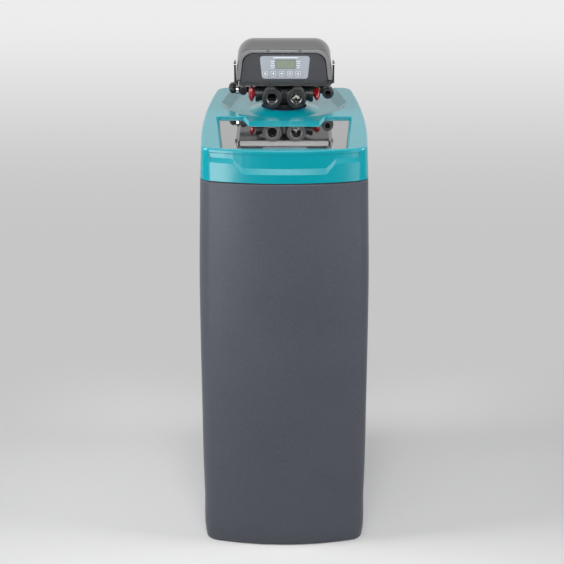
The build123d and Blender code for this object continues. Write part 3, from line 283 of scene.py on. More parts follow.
def resin_beads(tree, place, base):
    """Ion-exchange resin: amber beads under a millimetre across, drawn at 3 mm so that they show, with painted
    shade darkening the gaps between them.
    """
    beads = add_node(tree, "TexVoronoi", {"Scale": 330.0}, {"Vector": place})
    # Each bead is lighter in its middle and much darker towards the gaps between beads: painted shade between the
    # beads
    shade = add_node(tree, "MixRGB", tones(base, 1.2, 0.25), {"Fac": beads})
    height = add_node(tree, "Bump", {"Strength": 0.8, "Distance": 0.001, "invert": True}, {"Height": beads})
    return add_node(tree, "BsdfPrincipled", {"Roughness": 0.28}, {"Base Color": shade, "Normal": height})


METAL = {"Metallic": 1.0}
DULLED = {"Specular IOR Level": 0.35}

# Material, colour (a hex value or the name of a setting), roughness, its spread, grain in mm, bump,
# edge rounding in mm, and the shader's other sockets
PLAIN_FINISHES = {
    # ABS with a fine spark-eroded texture: an even satin without mirror images
    "hood": (
        "abs_satin_textured_grey", "hood", 0.36, 0.05, 0.8, 0.1, 0.4, {"Coat Weight": 0.5, "Coat Roughness": 0.3}
    ),
    # The same ABS, darker
    "fascia": ("abs_satin_textured_dark", "fascia", 0.38, 0.05, 0.8, 0.08, 0.4, {"Specular IOR Level": 0.3}),
    # Black ABS, polished in the mould: dark with crisp glints along its edges
    "tray": (
        "abs_gloss_black", "#0f0f12", 0.2, 0.04, 1.2, 0.03, 1.8,
        {"Coat Weight": 1.0, "Coat Roughness": 0.1, "Coat IOR": 1.7},
    ),
    # Printed polycarbonate film: flat, slightly silky
    "label": ("polycarbonate_film_silver", "label", 0.34, 0.03, 0.5, 0.02),
    # Glass-filled nylon: black, with fibres that dull its surface
    "valve": ("nylon_glass_filled_black", "black", 0.38, 0.08, 0.6, 0.15, 0.4, DULLED),
    # Glass-filled nylon with a skin of resin: black with a soft shine along its ribs
    "nut": ("nylon_black_shiny", "#0e0f11", 0.26, 0.06, 0.8, 0.08, 1.0, DULLED),
    # Polished black acetal: dark and slippery
    "port": (
        "acetal_polished_black", "#17181b", 0.12, 0.03, 1.0, 0.02, 0.8,
        {"IOR": 1.7, "Coat Weight": 1.0, "Coat Roughness": 0.05, "Coat IOR": 1.7},
    ),
    # Dyed ABS, polished in the mould: a deep glossy red
    "handle": (
        "abs_gloss_red", "handle", 0.2, 0.03, 1.5, 0.02, 0.4, {"Coat Weight": 0.5, "Coat Roughness": 0.08}
    ),
    # Brass strip, formed and lacquered: a warm, softly brushed shine
    "brass": ("brass_strip_brushed", "brass", 0.26, 0.06, 0.5, 0.08, 0.4, METAL),
    # Zinc-plated steel: bluish, slightly uneven
    "zinc": ("steel_zinc_plated", "#a3a8ad", 0.3, 0.08, 0.8, 0.05, 0.4, METAL),
    # Spring steel strip, bright rolled: a clean, narrow shine
    "spring": ("steel_spring_strip", "#c4c6c8", 0.2, 0.05, 0.5, 0.04, 0.4, METAL),
    # Natural acetal: milky white, waxy
    "acetal": (
        "acetal_natural_white", "#e4e2da", 0.36, 0.05, 0.8, 0.03, 0.4,
        {"Subsurface Weight": 0.05, "Subsurface Radius": (0.002, 0.002, 0.002)},
    ),
    # Extruded PVC: even white with faint draw marks
    "pvc": ("pvc_extruded_white", "#d8d9d5", 0.38, 0.05, 0.7, 0.04),
    # Natural polyethylene tube: milky, a little shiny
    "tube": ("polyethylene_tube_milky", "#cfd2cd", 0.34, 0.04, 1.2, 0.04),
    # Lacquered fibreglass board: flat green with a weak shine
    "board": ("fibreglass_board_green", "#245c3a", 0.3, 0.06, 0.8, 0.05),
    # Unlit reflective display behind glass: grey-green and smooth
    "display": ("display_glass_grey_green", "#86917f", 0.14, 0.02, 2.0, 0.0, 0.4, {"Coat Weight": 0.6}),
    # Moulded ABS key caps: pale grey, silky
    "key": ("abs_key_satin_grey", "#868c96", 0.38, 0.04, 0.5, 0.04),
    # The display's moulded frame: the same silk in dark grey
    "bezel": ("abs_satin_bezel_dark", "#3a3d42", 0.3, 0.04, 0.5, 0.03),
    # Liquid-crystal segments that are off: a shade darker than the glass
    "segment": ("display_segment_unlit", "#76806f", 0.2, 0.02, 1.0, 0.0),
    # Screen-printed ink on film: flat and nearly matt
    "ink": ("ink_screen_pale", "#e6e8ec", 0.5, 0.03, 0.5, 0.02),
}
FINISHES = {}


def finish(name):
    """The finished material of that name, made once."""
    if name not in FINISHES:
        colours = bpy.context.scene.softener_colours
        sizes = bpy.context.scene.softener_sizes
        patterned = {
            "cabinet": ("polyethylene_blow_moulded_grained", grained_polyethylene, colours.cabinet, sizes.grain),
            "cover": ("abs_gloss_moulded_teal", gloss_abs, colours.cover, sizes.edge),
            "lid": ("acrylic_smoked_polished", smoked_acrylic, colours.lid),
            "tank": ("glass_fibre_wound_blue", wound_glass_fibre, linear("#2f5f8c"), sizes.wind),
            "resin": ("ion_exchange_resin_beads", resin_beads, linear("#9a6a24")),
        }
        if name in patterned:
            FINISHES[name] = new_material(*patterned[name])
        else:
            title, base, *values = PLAIN_FINISHES[name]
            base = linear(base) if base.startswith("#") else getattr(colours, base)
            FINISHES[name] = new_material(title, plain_finish, base, *values)
    return FINISHES[name]


def dress(finish_name, *nodes):
    """Gives CAD nodes that stay as they are a finish."""
    for node in nodes:
        materials = NODES[node].data.materials
        materials.clear()
        materials.append(finish(finish_name))


# ---- meshes: a skin is its vertices in millimetres and a list of arrays of faces


def body_with(node):
    """The body that a CAD node rides on."""
    return NODES[node]["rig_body"]


def new_mesh(name, vertices, faces):
    """A smooth mesh of a skin."""
    mesh = bpy.data.meshes.new(name)
    points = (np.asarray(vertices, float) * MM).tolist()
    mesh.from_pydata(points, [], [face for group in faces for face in group.tolist()])
    mesh.shade_smooth()
    return mesh


def new_object(name, data):
    """An object in the scene."""
    made = bpy.data.objects.new(name, data)
    bpy.context.scene.collection.objects.link(made)
    return made


def put(name, skin, finish_name, node, replaces=(), crease=35.0):
    """Makes a piece of a skin, with its finish, body and nodes. Doubled points are merged
    first; edges sharper than crease degrees stay sharp."""
    mesh = new_mesh(name, *skin)
    work = bmesh.new()
    work.from_mesh(mesh)
    bmesh.ops.remove_doubles(work, verts=work.verts, dist=2e-6)
    bmesh.ops.dissolve_degenerate(work, dist=1e-6, edges=work.edges)
    bmesh.ops.recalc_face_normals(work, faces=work.faces)
    work.to_mesh(mesh)
    work.free()
    mesh.shade_smooth()
    mesh.set_sharp_from_angle(angle=math.radians(crease))
    mesh.materials.append(finish(finish_name))
    piece = new_object(name, mesh)
    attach(piece, body_with(node))
    if replaces:
        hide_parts(*replaces)
    return piece


def grid_faces(rows, columns, wrap_columns=True, wrap_rows=False):
    """Quads between neighbours on a grid whose point (row, column) has number row * columns + column."""
    r = np.arange(rows if wrap_rows else rows - 1)
    c = np.arange(columns if wrap_columns else columns - 1)
    r, c = [m.ravel() for m in np.meshgrid(r, c, indexing="ij")]
    r2, c2 = (r + 1) % rows, (c + 1) % columns
    return np.stack([r * columns + c, r * columns + c2, r2 * columns + c2, r2 * columns + c], axis=1)


def closed_skin(rings):
    """A skin of rings (rings, points, 3): quads between them, and a fan at each end about the end
    ring's middle."""
    rows, columns, _ = rings.shape
    vertices = np.concatenate([rings.reshape(-1, 3), rings[:1].mean(axis=1), rings[-1:].mean(axis=1)])
    c = np.arange(columns)
    after = (c + 1) % columns
    end = (rows - 1) * columns
    first = np.stack([np.full(columns, rows * columns), after, c], axis=1)
    last = np.stack([np.full(columns, rows * columns + 1), end + c, end + after], axis=1)
    return vertices, [grid_faces(rows, columns), first, last]


def merge(skins):
    """Several skins as one."""
    vertices = [v for v, _ in skins]
    starts = np.cumsum([0] + [len(v) for v in vertices])
    return np.concatenate(vertices), [f + start for (_, faces), start in zip(skins, starts) for f in faces]


def raised(loops, height):
    """Flat loops (..., points, 2), each at its height."""
    z = np.broadcast_to(np.asarray(height, float)[..., None, None], loops.shape[:-1] + (1,))
    return np.concatenate([loops, z], axis=-1)


def smooth_through(x, y, at):
    """A curve through points (x, y) read at places: cubic pieces whose slopes are the neighbours' mean."""
    x, y = np.asarray(x, float), np.asarray(y, float)
    slope = np.gradient(y, x)
    i = np.clip(np.searchsorted(x, at) - 1, 0, len(x) - 2)
    h = x[i + 1] - x[i]
    t = (at - x[i]) / h
    h00, h10 = 2 * t ** 3 - 3 * t ** 2 + 1, t ** 3 - 2 * t ** 2 + t
    h01, h11 = -2 * t ** 3 + 3 * t ** 2, t ** 3 - t ** 2
    return h00 * y[i] + h10 * h * slope[i] + h01 * y[i + 1] + h11 * h * slope[i + 1]


# ---- the cabinet, from its plan at each level

# The plan under the cover: its sides' widest place, the points where its four arcs would meet
# without their corner arcs, and the middles of its front and back
WIDEST_Y, HALF_WIDTH = -70.0, 176.4
FRONT_CORNER, BACK_CORNER = (170.5, -233.0), (154.0, 256.0)
FRONT_Y, BACK_Y = -260.0, 260.0
CORNER_R, LEAST_CORNER_R = 29.0, 4.0
# The wall is straight up to WALL_TOP, and rounded above it
WALL_TOP, SHOULDER_R, WALL_THICK = 826.5, 2.0, 5.0
# Levels: height over the floor, and how far the wall stands outside that plan, sideways and
# endways. The skin starts in the middle of the base, goes up the outside and comes down the inside
BASE = np.array([(0.0, -60.0, -60.0)])
SWELL = np.array([
    (0.0, -4.6, -3.8), (1.2, -2.6, -1.9), (4.0, -0.9, -0.6), (12.0, 0.6, 0.2), (97.0, 2.2, 0.8), (184.0, 4.0, 1.4),
    (320.0, 4.6, 2.0), (480.0, 5.2, 2.4), (620.0, 4.8, 2.0), (736.0, 2.2, 1.0), (828.5, 0.0, 0.0),
])
NECK = np.array([
    (828.5, -4.4, -4.4), (829.0, -4.5, -4.5), (847.5, -4.5, -4.5), (848.0, -5.0, -5.0), (848.0, -8.5, -8.5),
    (847.5, -9.0, -9.0), (822.0, -9.0, -9.0),
])
FLOOR = np.array([(12.0, -6.0, -6.5), (7.0, -10.0, -10.0), (7.0, -60.0, -60.0)])
# Heights of the wall's levels: close together round the foot's edge, and even above it
WALL_LEVELS = np.concatenate([np.linspace(0, 12, 13), np.linspace(20, 822, 90), [825.0, WALL_TOP]])
INSIDE_FROM, INSIDE_TO = 20.0, 815.0


def meet(c1, r1, c2, r2, far):
    """Where two circles cross, on the side of the line between their middles that far lies on."""
    d = c2 - c1
    apart = np.hypot(d[..., 0], d[..., 1])
    along = (apart ** 2 + r1 ** 2 - r2 ** 2) / (2 * apart)
    across = np.sqrt(np.maximum(r1 ** 2 - along ** 2, 0))
    unit = d / apart[..., None]
    normal = np.stack([-unit[..., 1], unit[..., 0]], axis=-1)
    side = np.sign(((far - c1) * normal).sum(axis=-1))
    return c1 + unit * along[..., None] + normal * (side * across)[..., None]


def arc(centre, radius, start, end, count):
    """Points round a circle from one point on it to another, by equal steps of the shorter angle."""
    a0 = np.arctan2(start[..., 1] - centre[..., 1], start[..., 0] - centre[..., 0])
    a1 = np.arctan2(end[..., 1] - centre[..., 1], end[..., 0] - centre[..., 0])
    turn = (a1 - a0 + np.pi) % (2 * np.pi) - np.pi
    a = a0[:, None] + turn[:, None] * np.linspace(0, 1, count, endpoint=False)
    return centre[:, None, :] + radius[:, None, None] * np.stack([np.cos(a), np.sin(a)], axis=-1)


def plan(side, end):
    """The cabinet's plan at each level as (levels, points, 2): four arcs, front, side and back,
    grown by side and end, joined by corner arcs that touch both neighbours from inside."""
    zero = np.zeros_like(side)
    widest = HALF_WIDTH + side
    front = np.stack([FRONT_CORNER[0] + side, FRONT_CORNER[1] - end], axis=-1)
    back = np.stack([BACK_CORNER[0] + side, BACK_CORNER[1] + end], axis=-1)
    r = np.maximum(LEAST_CORNER_R, CORNER_R + np.minimum(side, end))
    sag_front, sag_back = FRONT_CORNER[1] - FRONT_Y, BACK_Y - BACK_CORNER[1]
    r_front = (front[:, 0] ** 2 + sag_front ** 2) / (2 * sag_front)
    r_back = (back[:, 0] ** 2 + sag_back ** 2) / (2 * sag_back)
    c_front = np.stack([zero, FRONT_Y - end + r_front], axis=-1)
    c_back = np.stack([zero, BACK_Y + end - r_back], axis=-1)

    def side_circle(corner_point):
        run = corner_point[:, 1] - WIDEST_Y
        drop = widest - corner_point[:, 0]
        radius = (run ** 2 + drop ** 2) / (2 * drop)
        return np.stack([widest - radius, zero + WIDEST_Y], axis=-1), radius

    c_sf, r_sf = side_circle(front)
    c_sb, r_sb = side_circle(back)
    k_front = meet(c_front, r_front - r, c_sf, r_sf - r, front)
    k_back = meet(c_back, r_back - r, c_sb, r_sb - r, back)

    def touch(centre, radius, middle):
        d = middle - centre
        return centre + d * (radius / np.hypot(d[:, 0], d[:, 1]))[:, None]

    f0, f1 = touch(c_front, r_front, k_front), touch(c_sf, r_sf, k_front)
    b0, b1 = touch(c_sb, r_sb, k_back), touch(c_back, r_back, k_back)
    wide = np.stack([widest, zero + WIDEST_Y], axis=-1)
    nose = np.stack([zero, FRONT_Y - end], axis=-1)
    tail = np.stack([zero, BACK_Y + end], axis=-1)
    arcs = (
        (c_front, r_front, nose, f0, 20), (k_front, r, f0, f1, 12), (c_sf, r_sf, f1, wide, 12),
        (c_sb, r_sb, wide, b0, 20), (k_back, r, b0, b1, 12), (c_back, r_back, b1, tail, 16),
    )
    right = np.concatenate([arc(*values) for values in arcs], axis=1)
    left = right[:, ::-1] * np.array([-1.0, 1.0])
    return np.concatenate([right, tail[:, None, :], left[:, :-1]], axis=1)


class SOFTENER_OT_cabinet(bpy.types.Operator):
    """The brine cabinet's wall, foot and neck, as one closed skin"""

    bl_idname = "softener.cabinet"
    bl_label = "Cabinet"

    def execute(self, context):
        outward = [smooth_through(SWELL[:, 0], SWELL[:, i], WALL_LEVELS) for i in (1, 2)]
        wall = np.stack([WALL_LEVELS, *outward], axis=1)
        turn = np.linspace(0.2, 1, 5) * np.pi / 2
        drawn_in = -SHOULDER_R * (1 - np.cos(turn))
        shoulder = np.stack([WALL_TOP + SHOULDER_R * np.sin(turn), drawn_in, drawn_in], axis=1)
        # The inside follows every sixth level of the outside, between the floor and the neck
        inside = wall[::-6] - np.array([0.0, WALL_THICK, WALL_THICK])
        inside = inside[(inside[:, 0] > INSIDE_FROM) & (inside[:, 0] < INSIDE_TO)]
        z, side, end = np.concatenate([BASE, wall, shoulder, NECK, inside, FLOOR]).T
        rings = raised(plan(side, end), z)
        put("cabinet_wall", closed_skin(rings), "cabinet", "cabinet_shell", replaces=["cabinet_shell"])
        return {"FINISHED"}


class SOFTENER_OT_cover(bpy.types.Operator):
    """The gloss cover, its hinge pins and its screws"""

    bl_idname = "softener.cover"
    bl_label = "Cover"

    def execute(self, context):
        dress("cover", "top_cover")
        dress("zinc", "lid_hinge_pins", "cover_screws")
        return {"FINISHED"}


class SOFTENER_OT_lid(bpy.types.Operator):
    """The smoked salt lid"""

    bl_idname = "softener.lid"
    bl_label = "Salt lid"

    def execute(self, context):
        dress("lid", "salt_lid")
        return {"FINISHED"}


# ---- the head: the panel's plane and the hood's sections

# The panel leans back by its tilt from the line at PANEL_Y, PANEL_Z
PANEL_TILT = math.radians(10.0)
PANEL_Y, PANEL_Z = 53.0, 970.0
# The hood sits on the tray at HOOD_SEAT, its sides lean in, and its front stands proud of the panel
HOOD_SEAT = 969.0
HOOD_LEAN = 5.0
HOOD_PROUD = 2.6
HOOD_WALL = 2.4
HOOD_BACK = 212.0
FRONT_ROUND, BACK_ROUND = 2.6, 3.5
# How far back, half width, top, corner radius
HOOD_SECTIONS = np.array([
    (43.0, 104.2, 1022.0, 28.0), (56.0, 104.2, 1031.0, 30.0), (66.0, 104.2, 1036.5, 32.0),
    (80.0, 104.2, 1042.0, 34.0), (100.0, 104.2, 1046.5, 35.0), (125.0, 104.2, 1045.5, 35.0),
    (150.0, 103.8, 1040.0, 35.0), (178.0, 102.6, 1031.0, 33.0), (198.0, 99.5, 1020.0, 30.0),
    (HOOD_BACK, 94.0, 1006.0, 24.0),
])
# The opening in the hood's front, in the panel's plane: half width, lean, top, corner radius, bottom
WINDOW_TOP, WINDOW_BOTTOM = 57.2, -14.0
WINDOW = (95.2, 7.6, WINDOW_TOP, 26.2, WINDOW_BOTTOM)
DIMPLE_X, DIMPLE_UP, DIMPLE_R, DIMPLE_DEPTH = 34.5, 61.2, 2.3, 1.4
# Points on an arch's side, on its corner and on half its top
SIDE_POINTS, CORNER_POINTS, TOP_POINTS = 14, 18, 70


def on_panel(points):
    """Points (x, up, out) in the panel's own plane, put in place."""
    x, up, out = np.moveaxis(np.asarray(points, float), -1, 0)
    c, s = math.cos(PANEL_TILT), math.sin(PANEL_TILT)
    return np.stack([x, PANEL_Y + s * up - c * out, PANEL_Z + c * up + s * out], axis=-1)


def arch(half, lean, top, r, bottom):
    """An arch as (..., points, 2): a side that leans in by lean up to top, a corner of radius r that
    touches side and top, half the top, and the mirror image. half, top and r may be arrays."""
    half, top, r = np.broadcast_arrays(*[np.asarray(v, float) for v in (half, top, r)])
    rise = top - bottom
    tilt = np.arctan2(lean, rise)
    # The corner's middle stands r below the top and r inside the leaning side
    cz = top - r
    cx = half - lean * (cz - bottom) / rise - r / np.cos(tilt)
    t = np.linspace(0, 1, SIDE_POINTS, endpoint=False)
    touch_x, touch_z = cx + r * np.cos(tilt), cz + r * np.sin(tilt)
    side = np.stack(
        [half[..., None] + (touch_x - half)[..., None] * t, bottom + (touch_z - bottom)[..., None] * t], axis=-1
    )
    a = tilt[..., None] + (np.pi / 2 - tilt[..., None]) * np.linspace(0, 1, CORNER_POINTS, endpoint=False)
    corner = np.stack([cx[..., None] + r[..., None] * np.cos(a), cz[..., None] + r[..., None] * np.sin(a)], axis=-1)
    t = np.linspace(0, 1, TOP_POINTS)
    flat = np.stack([cx[..., None] * (1 - t), np.broadcast_to(top[..., None], cx.shape + t.shape)], axis=-1)
    right = np.concatenate([side, corner, flat], axis=-2)
    left = right[..., -2::-1, :] * np.array([-1.0, 1.0])
    return np.concatenate([right, left], axis=-2)


def hood_at(y):
    """The hood's section at each depth y, as (..., points, 3)."""
    half, top, r = [smooth_through(HOOD_SECTIONS[:, 0], HOOD_SECTIONS[:, i], y) for i in (1, 2, 3)]
    return raised(arch(half, HOOD_LEAN, top, r, HOOD_SEAT), y)[..., [0, 2, 1]]


def bend(start, corner, end, t):
    """A rounding: the parabola that leaves start towards corner and comes to end from it."""
    return (1 - t) ** 2 * start + 2 * t * (1 - t) * corner + t ** 2 * end


def hood_skin():
    """The hood's outer skin as rows of points: up the front band from the window's edge, round the
    front edge, back over the top and down the back wall to a pole at its foot."""
    points = hood_at(np.array([60.0])).shape[1]
    column = np.arange(points)

    def outside(y):
        return hood_at(y)[column, column]

    # Each point of the front edge lies in the panel's plane, moved out by HOOD_PROUD: its depth
    # follows from its height, which follows from its depth, so both are found by turns
    y = np.full(points, 55.0)
    for _ in range(12):
        z = outside(y)[:, 2]
        y = PANEL_Y + math.tan(PANEL_TILT) * (z - PANEL_Z) - HOOD_PROUD / math.cos(PANEL_TILT)
    front = outside(y)
    window_flat = arch(*WINDOW)
    foot = (HOOD_SEAT - PANEL_Z) / math.cos(PANEL_TILT)
    shrink = (WINDOW_TOP - foot) / (WINDOW_TOP - WINDOW_BOTTOM)
    window_flat[:, 1] = foot + (window_flat[:, 1] - WINDOW_BOTTOM) * shrink
    window = on_panel(raised(window_flat, HOOD_PROUD))
    band = front - window
    width = np.linalg.norm(band, axis=1, keepdims=True)
    band /= width
    turn = np.linspace(0, 1, 8)[:, None, None]
    band_end = front - band * np.minimum(FRONT_ROUND, 0.45 * width)
    start = y + FRONT_ROUND
    rounding = bend(band_end, front, outside(start), turn)
    flat_band = window + (band_end - window) * np.linspace(0, 1, 5, endpoint=False)[:, None, None]
    depth = np.linspace(0, 1, 60)[1:, None] ** 1.15
    rows = np.stack([outside(v) for v in start + (HOOD_BACK - BACK_ROUND - start) * depth])
    edge = outside(np.full(points, HOOD_BACK))
    pole = np.array([0.0, HOOD_BACK, HOOD_SEAT])
    inward = edge + (pole - edge) * 0.05
    back_round = bend(rows[-1], edge, inward, turn)
    back = inward + (pole - inward) * np.linspace(0, 1, 8)[1:, None, None]
    return np.concatenate([flat_band, rounding, rows, back_round[1:], back])


def dimple(skin, middle):
    """Pushes a skin in and down round a point by depth * exp(-(distance / radius) squared)."""
    away = np.linalg.norm(skin - middle, axis=-1, keepdims=True)
    inward = np.array([0.0, math.cos(PANEL_TILT), -math.sin(PANEL_TILT) - 0.5])
    return skin + inward * DIMPLE_DEPTH * np.exp(-((away / DIMPLE_R) ** 2))


class SOFTENER_OT_head(bpy.types.Operator):
    """The head: hood, tray and fascia"""

    bl_idname = "softener.head"
    bl_label = "Head"

    def execute(self, context):
        rows = hood_skin()
        for x in (-DIMPLE_X, DIMPLE_X):
            rows = dimple(rows, on_panel((x, DIMPLE_UP, HOOD_PROUD)))
        skin = rows.reshape(-1, 3), [grid_faces(*rows.shape[:2], wrap_columns=False)]
        hood = put("hood_moulding", skin, "hood", "hood", replaces=["hood"])
        wall = hood.modifiers.new("wall", "SOLIDIFY")
        wall.thickness = HOOD_WALL * MM
        wall.offset = -1
        wall.use_even_offset = True
        dress("tray", "head_tray")
        dress("fascia", "front_panel")
        return {"FINISHED"}


# ---- the panel's label, display and push buttons, in the panel's own plane: x, up, and height over it

DISPLAY_X, DISPLAY_UP = 2.8, 33.4
BUTTON_UP = 13.0
BUTTON_X = -41.2 + 17.8 * np.arange(5)
BUTTONS = ("menu_button", "up_button", "down_button", "set_button", "regenerate_button")
# Lowest and highest height of each thing over the panel. What it lies on is higher than its lowest
SEGMENT_LEVELS = (0.15, 0.24)
BEZEL_LEVELS = (0.6, 1.1)
PRINT_LEVELS = (0.78, 0.86)
RIM_LEVELS = (1.8, 1.98)
MARK_LEVELS = (1.86, 2.0)
# A button's rings: a rounded square's half width, its corner radius and its height
BUTTON_ROWS = (
    (4.2, 0.6, -4.1), (4.2, 0.6, 1.1), (5.9, 1.8, 1.1), (6.2, 2.0, 1.2), (6.25, 2.0, 1.35), (6.25, 2.0, 1.6),
    (6.15, 1.95, 1.78), (5.85, 1.8, 1.88), (5.4, 1.6, 1.9), (4.4, 1.3, 1.86), (2.5, 0.8, 1.84), (0.8, 0.3, 1.84),
)
# The figures' places, and the seven bars of each: x, up, half length across and half length up
FIGURE_X = (-11.5, -5.0, 3.0, 9.5)
FIGURE_BARS = (
    (0, 4.2, 1.6, 0.45), (0, 0, 1.6, 0.45), (0, -4.2, 1.6, 0.45), (-2.1, 2.1, 0.42, 1.5), (2.1, 2.1, 0.42, 1.5),
    (-2.1, -2.1, 0.42, 1.5), (2.1, -2.1, 0.42, 1.5),
)
# The dashes beside the display: up, and half length
DASH_X = 28.0
LEFT_DASHES = ((6, 4), (1.5, 3.2), (-3, 5), (-7.5, 3.6))
RIGHT_DASHES = ((6, 4.6), (1.5, 3.4), (-3, 4), (-7.5, 3))


def rounded_box(half_x, half_up, r, count=8):
    """A rounded rectangle as points: a quarter turn of radius r about each corner's middle."""
    turn = np.linspace(0, np.pi / 2, count)
    quarter = np.stack([np.cos(turn), np.sin(turn)], axis=1) * r + (half_x - r, half_up - r)
    flip = ((1, 1), (-1, 1), (-1, -1), (1, -1))
    return np.concatenate([(quarter * f)[::1 - 2 * (i % 2)] for i, f in enumerate(flip)])


def frame_band(outer, inner, place, levels):
    """A flat frame between two loops of equal count, moved to its place: its section is a rectangle
    between the two levels."""
    low, high = levels
    rows = ((outer, low), (outer, high), (inner, high), (inner, low))
    rings = np.stack([raised(loop + place, z) for loop, z in rows])
    return on_panel(rings).reshape(-1, 3), [grid_faces(4, len(outer), wrap_rows=True)]


def tile(loop, place, levels):
    """A flat tile: a loop moved to its place, carried from one level to the other and closed."""
    return closed_skin(on_panel(np.stack([raised(loop + place, z) for z in levels])))


def bar(x, up, half_x, half_up, levels):
    """A small tile with rounded ends."""
    return tile(rounded_box(half_x, half_up, min(half_x, half_up) * 0.9, 4), (x, up), levels)


def polygon(sides, radius, start):
    """A regular polygon's corners from the start angle in degrees."""
    a = np.radians(start) + 2 * np.pi * np.arange(sides) / sides
    return np.stack([np.cos(a), np.sin(a)], axis=1) * radius


def button_mark(node, x):
    """A plain mark for a button: three bars, a triangle up, one down, a ring, or two bars."""
    place = (x, BUTTON_UP)
    if node == "menu_button":
        return [bar(x, BUTTON_UP + d, 2.6, 0.45, MARK_LEVELS) for d in (-1.8, 0.0, 1.8)]
    if node == "regenerate_button":
        return [bar(x + d, BUTTON_UP, 0.65, 2.4, MARK_LEVELS) for d in (-1.4, 1.4)]
    if node == "set_button":
        return [frame_band(polygon(24, 2.7, 0), polygon(24, 1.8, 0), place, MARK_LEVELS)]
    return [tile(polygon(3, 3.0, 90 if node == "up_button" else -90), place, MARK_LEVELS)]


def button_cap(x):
    """A button: its stem, then a square cap with rounded edges and a top dished by 0.06 mm."""
    rings = [raised(rounded_box(half, half, r) + (x, BUTTON_UP), z) for half, r, z in BUTTON_ROWS]
    return closed_skin(on_panel(np.stack(rings)))


class SOFTENER_OT_panel(bpy.types.Operator):
    """The label with its printed marks, the display and the push buttons"""

    bl_idname = "softener.panel"
    bl_label = "Panel"

    def execute(self, context):
        dress("label", "panel_label")
        dress("display", "lcd")
        bezel = frame_band(
            rounded_box(21.6, 9.6, 1.4), rounded_box(20.5, 8.5, 0.8), (DISPLAY_X, DISPLAY_UP), BEZEL_LEVELS
        )
        put("display_bezel", bezel, "bezel", "panel_label")
        self.digits()
        self.printed_marks()
        outer, inner = rounded_box(5.9, 5.9, 1.8), rounded_box(5.1, 5.1, 1.4)
        for node, x in zip(BUTTONS, BUTTON_X):
            put(node + "_cap", button_cap(x), "key", node, replaces=[node])
            rim = frame_band(outer, inner, (x, BUTTON_UP), RIM_LEVELS)
            put(node + "_marks", merge([rim, *button_mark(node, x)]), "ink", node)
        return {"FINISHED"}

    def digits(self):
        """Four unlit figures of seven bars each and a colon, faint behind the display's glass."""
        places = [(x + dx, up, half_x, half_up) for x in FIGURE_X for dx, up, half_x, half_up in FIGURE_BARS]
        places += [(-1.0, up, 0.45, 0.45) for up in (-1.6, 1.6)]
        bars = [bar(DISPLAY_X + x, DISPLAY_UP + up, *half, SEGMENT_LEVELS) for x, up, *half in places]
        put("display_segments", merge(bars), "segment", "lcd")

    def printed_marks(self):
        """Plain dashes beside the display and one over it, in pale ink."""
        dashes = [
            bar(DISPLAY_X + x, DISPLAY_UP + up, half, 0.55, PRINT_LEVELS)
            for x, column in ((-DASH_X, LEFT_DASHES), (DASH_X, RIGHT_DASHES)) for up, half in column
        ]
        dashes.append(bar(DISPLAY_X, 47.2, 27.0, 0.7, PRINT_LEVELS))
        put("label_marks", merge(dashes), "ink", "panel_label")


class SOFTENER_OT_valve(bpy.types.Operator):
    """The control valve, the bypass and their unions"""

    bl_idname = "softener.valve"
    bl_label = "Valve and bypass"

    def execute(self, context):
        dress("valve", "valve_body", "bypass_body", "rotor_caps", "inlet_rotor", "outlet_rotor")
        dress("nut", "union_nuts")
        dress("port", "port_tails", "piston")
        dress("acetal", "meter_spider", "turbine", "seal_stack", "piston_rack")
        return {"FINISHED"}


# ---- the bypass handles, drawn about the origin with their stems along X

HANDLE_X, ROTOR_Y, PORT_Z = 71.4, 78.0, 933.5
# Degrees from upright at rest, where the right handle points forwards
OUTLET_TURN = -55.0
# The blade: reach up and down, half thickness at the stem and at the tips, half depth
REACH, HALF_THICK, TIP_HALF, HALF_DEEP = 19.0, 7.4, 0.8, 10.5
BLADE_POWER = 2.4
# The hub's rings: radius, and place along its stem. The last one closes in on the rotor's stem
HUB_ROWS = np.array([
    (6.05, -7.2), (7.8, -7.2), (8.4, -7.0), (8.6, -6.5), (8.6, 0.1), (8.4, 0.6), (7.8, 0.8), (3.0, 0.8),
])
# The band's heights on the blade, and how far its two faces stand off it
BAND_FROM, BAND_TO = 4.8, 10.0
BAND_INSIDE, BAND_OUTSIDE = 0.3, 1.1
ROUND = np.linspace(0, 2 * np.pi, 48, endpoint=False)


def lens_rings(height, grown=0.0):
    """Rings of a handle's blade at heights from -1 to 1 of its reach, grown all round. Seen from the
    front it is a lens between two arcs that end TIP_HALF from its middle; seen from the side an
    ellipse. Each ring is a superellipse, whose power softens the blade's corners."""
    middle = HALF_THICK - TIP_HALF
    radius = (middle ** 2 + REACH ** 2) / (2 * middle)
    z = REACH * np.asarray(height)
    x_half = HALF_THICK - radius + np.sqrt(radius ** 2 - z ** 2) + grown
    y_half = HALF_DEEP * np.sqrt(np.maximum(1 - (z / REACH) ** 2, 0.004)) + grown
    c, d = [np.sign(v) * np.abs(v) ** (2 / BLADE_POWER) for v in (np.cos(ROUND), np.sin(ROUND))]
    return raised(np.stack([x_half[:, None] * c, y_half[:, None] * d], axis=2), z)


def hub_rings():
    """Rings of the hub about X, with rounded rims."""
    radius, along = HUB_ROWS[:, :1], HUB_ROWS[:, 1:] + 0 * ROUND
    return np.stack([along, radius * np.cos(ROUND), radius * np.sin(ROUND)], axis=2)


def at_handle(points, side, turn):
    """Turns points about X by degrees and puts them on the left (-1) or right (1) handle's stem."""
    c, n = math.cos(math.radians(turn)), math.sin(math.radians(turn))
    x, y, z = np.moveaxis(points, -1, 0)
    return np.stack([side * (x + HANDLE_X), y * c - z * n + ROTOR_Y, y * n + z * c + PORT_Z], axis=-1)


